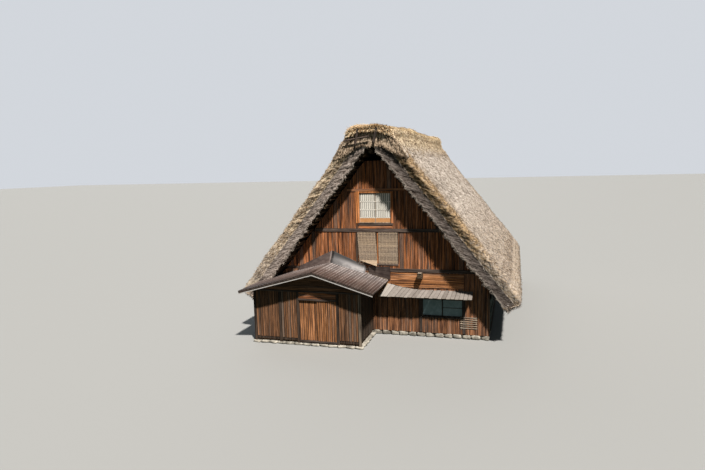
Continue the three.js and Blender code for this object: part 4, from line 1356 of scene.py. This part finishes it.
def build_flashing():
    """The coved sheet between the annex roof and the gable wall: a quarter curve from roof to wall."""
    across, up = np.linspace(0, 1, 15), np.linspace(0, 1, 11)
    rows, count = len(across), len(across) * len(up)
    for name, (start, stop, glow) in FLASHINGS.items():
        x, rise, reach = [mixed(a, b, across)[:, None] for a, b in zip(start, stop)]
        side_x = np.clip(x, FLASHINGS["left"][0][0], FLASHINGS["right"][1][0])
        side_x = side_x + (0.0005 if name == "right" else -0.0005)
        angle = up[None, :] * math.pi / 2
        y = FRONT - 0.003 - reach * (1 - mixed(up[None, :], np.sin(angle), 0.35))
        z = annex_roof_z(side_x) + 0.02 + rise * mixed(up[None, :], 1 - np.cos(angle), 0.35)
        top = np.stack(np.broadcast_arrays(x, y, z), -1)
        under = top.copy()
        under[..., 2] = np.maximum(under[..., 2] - 0.015, annex_roof_z(side_x) + 0.004)
        faces = [*grid_faces(rows, len(up)).tolist(), *grid_faces(rows, len(up), count).tolist()]
        number = np.arange(count).reshape(rows, -1)
        for edge in (number[:, 0], number[:, -1], number[0], number[-1]):
            faces += [[a, b, b + count, a + count] for a, b in pairs(edge.tolist())]
        # Painted highlight: the mask rises across each flashing and fades up the curve, and the tone also
        # rises across it, so each flashing is painted lighter towards its end.
        lit = mixed(0.3, 1, eased(across, 0.0, 0.6))[:, None] * (1 - eased(up, 0.4, 0.8))[None, :]
        finish = sheet(f"flashing_{name}", (0.4, 0.6, 0.6), shine=0.2, glow=glow)
        make_piece(f"coved_flashing_{name}", np.concatenate([top, under]), faces, finish, slot="flashing",
                   replaces=[f"flashing_{name}"], smooth=True, tone=np.tile(np.repeat(across, len(up)), 2),
                   glow=np.tile(lit.ravel(), 2))


def upright_boards(x_range, z_range, y_face, width, rng, gap=0.028):
    """Upright boards on a face that looks along -y."""
    boxes = []
    for a, b in columns(*x_range, width, rng):
        depth = rng.uniform(0.014, 0.022)
        foot = z_range[0] + rng.uniform(-0.012, 0.012)
        boxes.append(panel(a + gap / 2, b - gap / 2, foot, z_range[1], y_face - depth, y_face))
    return boxes


def build_annex_walls(settings):
    """Upright boards on the annex's front and sides, its gable, a plate and a board over the doors. The
    sides' boards are painted dark as shade; the board over the doors is painted bright, partly its own
    redder wood and partly painted sunlight.
    """
    rng = np.random.default_rng(31)
    width = settings.annex_board
    boxes = []
    for node in ("annex_wall_left", "annex_wall_right"):
        low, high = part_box(node)
        spans = [(low.x, high.x)] if node.endswith("right") else [(low.x, POST_GAP[0]), (POST_GAP[1], high.x)]
        for span in spans:
            boxes += upright_boards(span, (BOARD_FOOT, high.z), ANNEX_FRONT + 0.05, width, rng)
    put_blocks("annex_front_boards", boxes, wood("annex_boards"), tone=rng.random(len(boxes)),
               slot="annex_boards")
    low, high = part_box("annex_gable")
    x0, x1 = [corner.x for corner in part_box("door_sill")]
    put_blocks("annex_plate", [panel(low.x - 0.02, high.x + 0.02, *PLATE, low.y - 0.03, low.y)],
               wood("dark_timber", "x"), slot="dark_timber")
    # The board over the doors takes the redder, brighter gable boards: partly its own wood, partly painted
    # sunlight where the roof's shadow falls on it.
    put_blocks("door_head_board", [panel(x0, x1, *DOOR_HEAD, low.y - 0.022, low.y)],
               wood("gable_boards", "x"), tone=[0.55], slot="annex_boards")
    put_blocks("door_head_rail", [panel(x0, x1, *DOOR_RAIL, low.y - 0.035, low.y)],
               wood("dark_timber", "x"), slot="dark_timber")
    build_annex_gable(low, high, rng)
    for side, name in SIDES:
        low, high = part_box(f"annex_side_{name}")
        x = high.x if side > 0 else low.x
        boxes = []
        for a, b in columns(low.y + 0.01, high.y - 0.01, width, rng):
            x0, x1 = sorted((x, x + side * rng.uniform(0.014, 0.022)))
            top = high.z - 0.02 if side > 0 or b < VERGE_FRONT else 2.86
            boxes.append(((x0, a + 0.004, 0.3), (x1, b - 0.004, top)))
        # The side boards take the darker timber: painted shade.
        put_blocks(f"annex_side_{name}_boards", boxes, wood("shade_boards"), tone=rng.random(len(boxes)),
                   slot="annex_boards")


def build_annex_gable(low, high, rng):
    """Level boards in the annex's gable, their ends cut to the roof, in short lengths to follow it."""
    boxes, tones = [], []
    for z in np.arange(*GABLE_ROWS):
        tone = rng.random()
        for a, b in pairs(np.linspace(low.x + 0.02, high.x - 0.02, 41)):
            if min(annex_roof_z(a), annex_roof_z(b)) - 0.08 > z + 0.02:
                boxes.append(panel(a, b, z + 0.003, z + 0.167, low.y - 0.018, low.y))
                tones.append(tone)

    def under_roof(points):
        """Keeps the boards under the annex roof."""
        points[..., 2] = np.minimum(points[..., 2], annex_roof_z(points[..., 0], -0.08))
        return points

    put_blocks("annex_gable_boards", boxes, wood("annex_boards", "x"), tone=tones, chamfer=0.0005,
               shape=under_roof, slot="annex_boards")


def build_doors(settings):
    """Two sliding doors of upright boards on a dark backing."""
    for name, seed in (("door_left", 3), ("door_right", 8)):
        low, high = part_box(name)
        back = low.y + 0.012
        rng = np.random.default_rng(seed)
        boards = upright_boards((low.x + 0.002, high.x - 0.002), (low.z + 0.014, high.z - 0.002), back,
                                settings.annex_board, rng, 0.026)
        boards = [((l[0], low.y + 0.001 + rng.uniform(0, 0.004), max(l[2], low.z + 0.002)), h)
                  for l, h in boards]
        tone = np.append(rng.random(len(boards)), 0.3)
        put_blocks(f"{name}_boards", [*boards, panel(low.x, high.x, low.z, high.z, back, high.y)],
                   wood("door_boards"), tone=tone, chamfer=0.003, body=name, replaces=[name],
                   slot="annex_boards", second=(wood("post_timber"), len(BLOCK_FACES) * len(boards)))


# Stones

# The width of the footing under a wall, and of a stone in it
STRIP, STONE_DEPTH = 0.35, 0.33
# How far a stone's cube is blown to a ball
STONE_ROUND = 0.45


def stones(name, places, sizes, node):
    """Round-edged field stones: a cube's grid blown half way to a ball, then dented, one for each place."""
    n = 5
    line = np.linspace(-1, 1, n)
    a, b = np.meshgrid(line, line, indexing="ij")
    one = np.ones_like(a)
    sides = ((one, a, b), (-one, b, a), (b, one, a), (a, -one, b), (a, b, one), (b, a, -one))
    cube = np.concatenate([np.stack(s, -1).reshape(-1, 3) for s in sides])
    faces = np.concatenate([grid_faces(n, n, k * n * n) for k in range(6)])
    keys, index = np.unique(np.round(cube, 5), axis=0, return_inverse=True)
    faces = index.ravel()[faces]
    shape = mixed(keys, keys / np.linalg.norm(keys, axis=1, keepdims=True), STONE_ROUND)
    rng = np.random.default_rng(name_seed(name))
    points = []
    for place, size in zip(places, sizes):
        turn = rng.uniform(-0.3, 0.3)
        c, s = math.cos(turn), math.sin(turn)
        dent = 1 + 0.12 * noise(shape * 1.4 + rng.uniform(0, 50, 3), 4, 2)[:, None]
        p = shape * dent * np.array(size) / 2
        p = np.stack([p[:, 0] * c - p[:, 1] * s, p[:, 0] * s + p[:, 1] * c, p[:, 2]], -1)
        p[:, 2] = np.clip(p[:, 2] + place[2], 0.0, place[2] * 2)
        p[:, :2] += place[:2]
        points.append(p)
    faces = (faces[None] + len(keys) * np.arange(len(points))[:, None, None]).reshape(-1, 4)
    make_piece(name, np.concatenate(points), faces, stone_finish("stone"), replaces=[node], slot="stone",
               smooth=True)


def stone_row(start, end, depth, height, pitch, rng):
    """Stones in a row from start to end, all about one height, as their places and sizes."""
    start, end = np.array(start), np.array(end)
    length = np.linalg.norm(end - start)
    count = max(1, round(length / pitch))
    along = (end - start) / length
    row = []
    for i in range(count):
        middle = start + along * length * (i + 0.5) / count
        size = np.abs(along) * length / count * rng.uniform(0.96, 1.05)
        size = size + np.abs(along[::-1]) * depth * rng.uniform(0.85, 1.0)
        row.append(((*middle, height / 2), (*size, height * 1.12)))
    return row


def build_stones(settings):
    """Rows of stones under the walls of the house and the annex."""
    rng = np.random.default_rng(90)
    half = STRIP / 2
    for node in ("footing", "annex_footing"):
        low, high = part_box(node)
        x0, x1, y0, y1 = low.x + half, high.x - half, low.y + half, high.y - half
        runs = [((low.x, y0), (high.x, y0)), ((x0, low.y + STRIP), (x0, high.y)),
                ((x1, low.y + STRIP), (x1, high.y))]
        if node == "footing":
            runs.append(((low.x, y1), (high.x, y1)))
        row = [stone for start, end in runs
               for stone in stone_row(start, end, STONE_DEPTH, high.z, settings.stone, rng)]
        stones(f"{node}_stones", *zip(*row), node)


# Under the verges

# The logs' first and last place down the slope, their pitch, and how deep they lie
LOG_PLACES, LOG_DEPTH = (0.62, 8.6, 0.45), -0.062


def build_verge_logs():
    """Round purlin ends between the squared ones under each verge."""
    rng = np.random.default_rng(77)
    for side, name in SIDES:
        for end, way, y_out, y_in in (("front", 1, VERGE_FRONT + 0.12, FRONT - 0.03),
                                      ("back", -1, VERGE_BACK - 0.12, BACK + 0.03)):
            u = np.arange(*LOG_PLACES)
            u = u + rng.uniform(-0.04, 0.04, len(u))
            starts = slope_point(side, u, y_out + rng.uniform(-0.05, 0.08, len(u)) * way, LOG_DEPTH)
            ends = slope_point(side, u, y_in, LOG_DEPTH)
            points, faces = poles(starts, ends, rng.uniform(0.042, 0.056, len(u)), 10)
            make_piece(f"verge_logs_{name}_{end}", points, faces, wood("smoked_log", "y"), slot="log",
                       tone=np.repeat(rng.random(len(u)), 20))


# Finishes of the frame's own pieces

def build_frame_finishes():
    """Procedural finishes for every piece of the frame that stays in view."""
    storeys = [f"{end}_wall_{storey}" for end in ("front", "back") for storey in WINDOWS]
    dress(wood("dark_timber"), "wall_boards", *storeys)
    dress(wood("gable_boards"), "wall_boards", "left_wall", "right_wall")
    dress(wood("post_timber"), "annex_boards", "annex_wall_left", "annex_wall_right", "annex_gable",
          "annex_side_left", "annex_side_right")
    dress(wood("dark_timber", "x"), "dark_timber", "front_frame", "back_frame", "awning_frame")
    dress(wood("smoked_log", "y"), "log", "roof_frame_left", "roof_frame_right", "ridge_beam")
    dress(wood("floor_boards", "y"), "floor_boards", "ground_floor", "attic_floor", "loft_floor",
          "annex_floor")
    dress(paper_finish("shoji_paper"), "shoji_paper", "shoji_left", "shoji_right", "attic_shoji",
          "back_loft_shoji", "back_attic_shoji")
    dress(glass_finish("window_glass"), "window_glass", "front_window", "back_window", "left_glazing",
          "right_glazing")


# Stage

def build_stage(settings):
    """A pale floor, a soft sun from the front right, an even sky and the photograph's camera."""
    points = np.array([[-1, -1, 0], [1, -1, 0], [1, 1, 0], [-1, 1, 0]]) * FLOOR_REACH
    mesh = bpy.data.meshes.new("floor")
    mesh.from_pydata(points.tolist(), [], [[0, 1, 2, 3]])
    mesh.materials.append(floor_finish("floor_pale", settings.floor_bounce, settings.floor_colour))
    floor = bpy.data.objects.new("floor", mesh)
    bpy.context.scene.collection.objects.link(floor)
    floor.location.z = -0.002
    world = bpy.data.worlds.new("studio")
    world.use_nodes = True
    g = Graph(world.node_tree)
    seen = g.add("ShaderNodeLightPath")
    g.put(world.node_tree.nodes["Background"].inputs, {
        "Color": g.mix(seen, (*settings.shade_colour, 1.0), (*settings.sky_colour, 1.0)),
        "Strength": g.fade(seen, 0, 1, settings.sky_strength, settings.backdrop)})
    bpy.context.scene.world = world
    bpy.context.scene.view_settings.view_transform = "Standard"
    put_lamp("sun", settings.sun_strength, settings.sun_spread, (1.0, 0.965, 0.91), SUN_TRAVEL)
    put_lamp("back_light", settings.back_strength, BACK_SPREAD, (0.9, 0.95, 1.0), BACK_TRAVEL)
    put_camera()


def put_lamp(name, strength, spread, tint, travel):
    """A distant lamp whose light travels along a direction."""
    light = bpy.data.lights.new(name, "SUN")
    light.energy = strength
    light.angle = spread
    light.color = tint
    lamp = bpy.data.objects.new(name, light)
    lamp.rotation_mode = "QUATERNION"
    lamp.rotation_quaternion = Vector(travel).to_track_quat("-Z", "Y")
    lamp.location = Vector(travel) * -20
    bpy.context.scene.collection.objects.link(lamp)


def put_camera():
    """The camera at the photograph's place: turned to the left, dipped and rolled a little."""
    yaw, dip, roll = CAMERA_TURN, CAMERA_DIP, CAMERA_ROLL
    ahead = np.array([-math.sin(yaw) * math.cos(dip), math.cos(yaw) * math.cos(dip), -math.sin(dip)])
    right = np.array([math.cos(yaw), math.sin(yaw), 0.0])
    up = np.cross(right, ahead)
    rolled_right = math.cos(roll) * right + math.sin(roll) * up
    rolled_up = -math.sin(roll) * right + math.cos(roll) * up
    camera = bpy.data.cameras.new("camera")
    camera.lens = CAMERA_LENS
    camera.sensor_width = 36.0
    camera.clip_end = 2000.0
    place = bpy.data.objects.new("camera", camera)
    axes = Matrix([rolled_right, rolled_up, -ahead]).transposed()
    place.matrix_world = Matrix.Translation(CAMERA_PLACE) @ axes.to_4x4()
    bpy.context.scene.collection.objects.link(place)
    bpy.context.scene.camera = place


# Settings

class FarmhouseThatchSettings(bpy.types.PropertyGroup):
    """Sizes of the thatch and counts of its straws."""
    grid: bpy.props.FloatProperty(
        name="Grid", description="Spacing of the thatch's points along the ridge", default=0.08,
        unit="LENGTH")
    row: bpy.props.FloatProperty(
        name="Row", description="Spacing of the thatch's points down the slope", default=0.05, unit="LENGTH")
    face_straws: bpy.props.IntProperty(
        name="Face straws", description="Straws on each slope", default=23000)
    fringe_straws: bpy.props.IntProperty(
        name="Fringe straws", description="Straws on each slope's lower edges", default=4000)
    rim_straws: bpy.props.IntProperty(
        name="Rim straws", description="Straws on each slope's outer verges", default=7000)
    cap_straws: bpy.props.IntProperty(
        name="Cap straws", description="Straws on the ridge cap", default=9000)


class FarmhouseTimberSettings(bpy.types.PropertyGroup):
    """Sizes of boards, bars and reeds."""
    board_width: bpy.props.FloatProperty(
        name="Board width", description="Width of a gable board", default=0.195, unit="LENGTH")
    board_gap: bpy.props.FloatProperty(
        name="Board gap", description="Gap between boards", default=0.02, unit="LENGTH")
    annex_board: bpy.props.FloatProperty(
        name="Annex board", description="Width of an annex board", default=0.125, unit="LENGTH")
    shoji_bars: bpy.props.IntProperty(
        name="Shoji bars", description="Upright bars in one shoji", default=7)
    reed_pitch: bpy.props.FloatProperty(
        name="Reed pitch", description="Spacing of the reeds in a blind", default=0.0125, unit="LENGTH")
    awning_boards: bpy.props.IntProperty(
        name="Awning boards", description="Boards on the awning", default=22)
    course: bpy.props.FloatProperty(
        name="Sheet course", description="Width of one course of the annex roof", default=0.155,
        unit="LENGTH")
    stone: bpy.props.FloatProperty(
        name="Stone", description="Length of one foundation stone", default=0.5, unit="LENGTH")


class FarmhouseStageSettings(bpy.types.PropertyGroup):
    """Light and floor."""
    sun_strength: bpy.props.FloatProperty(
        name="Sun strength", description="Strength of the sun lamp", default=6.7)
    back_strength: bpy.props.FloatProperty(
        name="Back strength", description="Strength of the broad lamp behind the house", default=1.1)
    sun_spread: bpy.props.FloatProperty(
        name="Sun spread", description="Angle of the soft sun", default=0.045, subtype="ANGLE")
    sky_strength: bpy.props.FloatProperty(
        name="Sky strength", description="Strength of the light from the even sky", default=0.135)
    backdrop: bpy.props.FloatProperty(
        name="Backdrop", description="Brightness of the sky as the camera sees it", default=0.72)
    sky_colour: bpy.props.FloatVectorProperty(
        name="Sky colour", description="Colour of the sky as seen", default=(0.90, 0.94, 1.0),
        subtype="COLOR")
    shade_colour: bpy.props.FloatVectorProperty(
        name="Shade colour", description="Colour of the sky's light", default=(0.74, 0.90, 1.0),
        subtype="COLOR")
    floor_colour: bpy.props.FloatVectorProperty(
        name="Floor colour", description="Colour of the floor", default=(0.3, 0.298, 0.29), subtype="COLOR")
    floor_bounce: bpy.props.FloatVectorProperty(
        name="Floor bounce", description="Light that the floor gives back", default=(0.05, 0.06, 0.05),
        subtype="COLOR")


# Operators

class FARMHOUSE_OT_stage(bpy.types.Operator):
    """Floor, light and camera"""
    bl_idname = "farmhouse.stage"
    bl_label = "Stage"

    def execute(self, context):
        build_stage(context.scene.farmhouse_stage)
        return {"FINISHED"}


class FARMHOUSE_OT_frame_finishes(bpy.types.Operator):
    """Finishes of the pieces that come from the frame"""
    bl_idname = "farmhouse.frame_finishes"
    bl_label = "Frame finishes"

    def execute(self, context):
        build_frame_finishes()
        return {"FINISHED"}


class FARMHOUSE_OT_thatch(bpy.types.Operator):
    """Both thatched slopes and their straws"""
    bl_idname = "farmhouse.thatch"
    bl_label = "Thatch"

    def execute(self, context):
        build_thatch(context.scene.farmhouse_thatch)
        return {"FINISHED"}


class FARMHOUSE_OT_ridge(bpy.types.Operator):
    """The ridge cap, its straws and its lashed poles"""
    bl_idname = "farmhouse.ridge"
    bl_label = "Ridge"

    def execute(self, context):
        build_ridge(context.scene.farmhouse_thatch)
        build_ridge_poles()
        build_verge_logs()
        return {"FINISHED"}


class FARMHOUSE_OT_gables(bpy.types.Operator):
    """Boards of both gables and the timber on them"""
    bl_idname = "farmhouse.gables"
    bl_label = "Gable boards"

    def execute(self, context):
        build_gables(context.scene.farmhouse_timber)
        build_timber()
        return {"FINISHED"}


class FARMHOUSE_OT_windows(bpy.types.Operator):
    """Shoji, window frames and the glazing along the sides"""
    bl_idname = "farmhouse.windows"
    bl_label = "Windows"

    def execute(self, context):
        settings = context.scene.farmhouse_timber
        build_shoji(settings)
        build_attic_window()
        build_ground_window()
        build_glazing()
        return {"FINISHED"}


class FARMHOUSE_OT_blinds(bpy.types.Operator):
    """The two reed blinds"""
    bl_idname = "farmhouse.blinds"
    bl_label = "Reed blinds"

    def execute(self, context):
        build_blinds(context.scene.farmhouse_timber)
        return {"FINISHED"}


class FARMHOUSE_OT_awning(bpy.types.Operator):
    """The boarded awning"""
    bl_idname = "farmhouse.awning"
    bl_label = "Awning"

    def execute(self, context):
        build_awning(context.scene.farmhouse_timber)
        return {"FINISHED"}


class FARMHOUSE_OT_annex(bpy.types.Operator):
    """The annex's walls, doors, roof and flashing"""
    bl_idname = "farmhouse.annex"
    bl_label = "Annex"

    def execute(self, context):
        settings = context.scene.farmhouse_timber
        build_annex_walls(settings)
        build_doors(settings)
        build_annex_roof(settings)
        build_flashing()
        return {"FINISHED"}


class FARMHOUSE_OT_stones(bpy.types.Operator):
    """The foundation stones"""
    bl_idname = "farmhouse.stones"
    bl_label = "Stones"

    def execute(self, context):
        build_stones(context.scene.farmhouse_timber)
        return {"FINISHED"}


OPERATORS = (
    FARMHOUSE_OT_stage, FARMHOUSE_OT_frame_finishes, FARMHOUSE_OT_thatch, FARMHOUSE_OT_ridge,
    FARMHOUSE_OT_gables, FARMHOUSE_OT_windows, FARMHOUSE_OT_blinds, FARMHOUSE_OT_awning,
    FARMHOUSE_OT_annex, FARMHOUSE_OT_stones,
)


class FARMHOUSE_PT_panel(bpy.types.Panel):
    """Lists the farmhouse's pieces in the sidebar"""
    bl_label = "Farmhouse"
    bl_idname = "FARMHOUSE_PT_panel"
    bl_space_type = "VIEW_3D"
    bl_region_type = "UI"
    bl_category = "Farmhouse"

    def draw(self, context):
        for operator in OPERATORS:
            self.layout.operator(operator.bl_idname)
        for name in SETTINGS:
            group = getattr(context.scene, name)
            for key in group.__annotations__:
                self.layout.prop(group, key)


SETTINGS = {
    "farmhouse_thatch": FarmhouseThatchSettings,
    "farmhouse_timber": FarmhouseTimberSettings,
    "farmhouse_stage": FarmhouseStageSettings,
}


def register():
    """Registers the settings, the operators and the panel."""
    for name, kind in SETTINGS.items():
        bpy.utils.register_class(kind)
        setattr(bpy.types.Scene, name, bpy.props.PointerProperty(type=kind))
    for kind in (*OPERATORS, FARMHOUSE_PT_panel):
        bpy.utils.register_class(kind)


def unregister():
    """Takes them all away again."""
    for kind in (FARMHOUSE_PT_panel, *reversed(OPERATORS)):
        bpy.utils.unregister_class(kind)
    for name, kind in SETTINGS.items():
        delattr(bpy.types.Scene, name)
        bpy.utils.unregister_class(kind)


def main():
    """Builds the stage and every piece in order."""
    register()
    for operator in OPERATORS:
        group, name = operator.bl_idname.split(".")
        getattr(getattr(bpy.ops, group), name)()


if __name__ == "__main__":
    main()
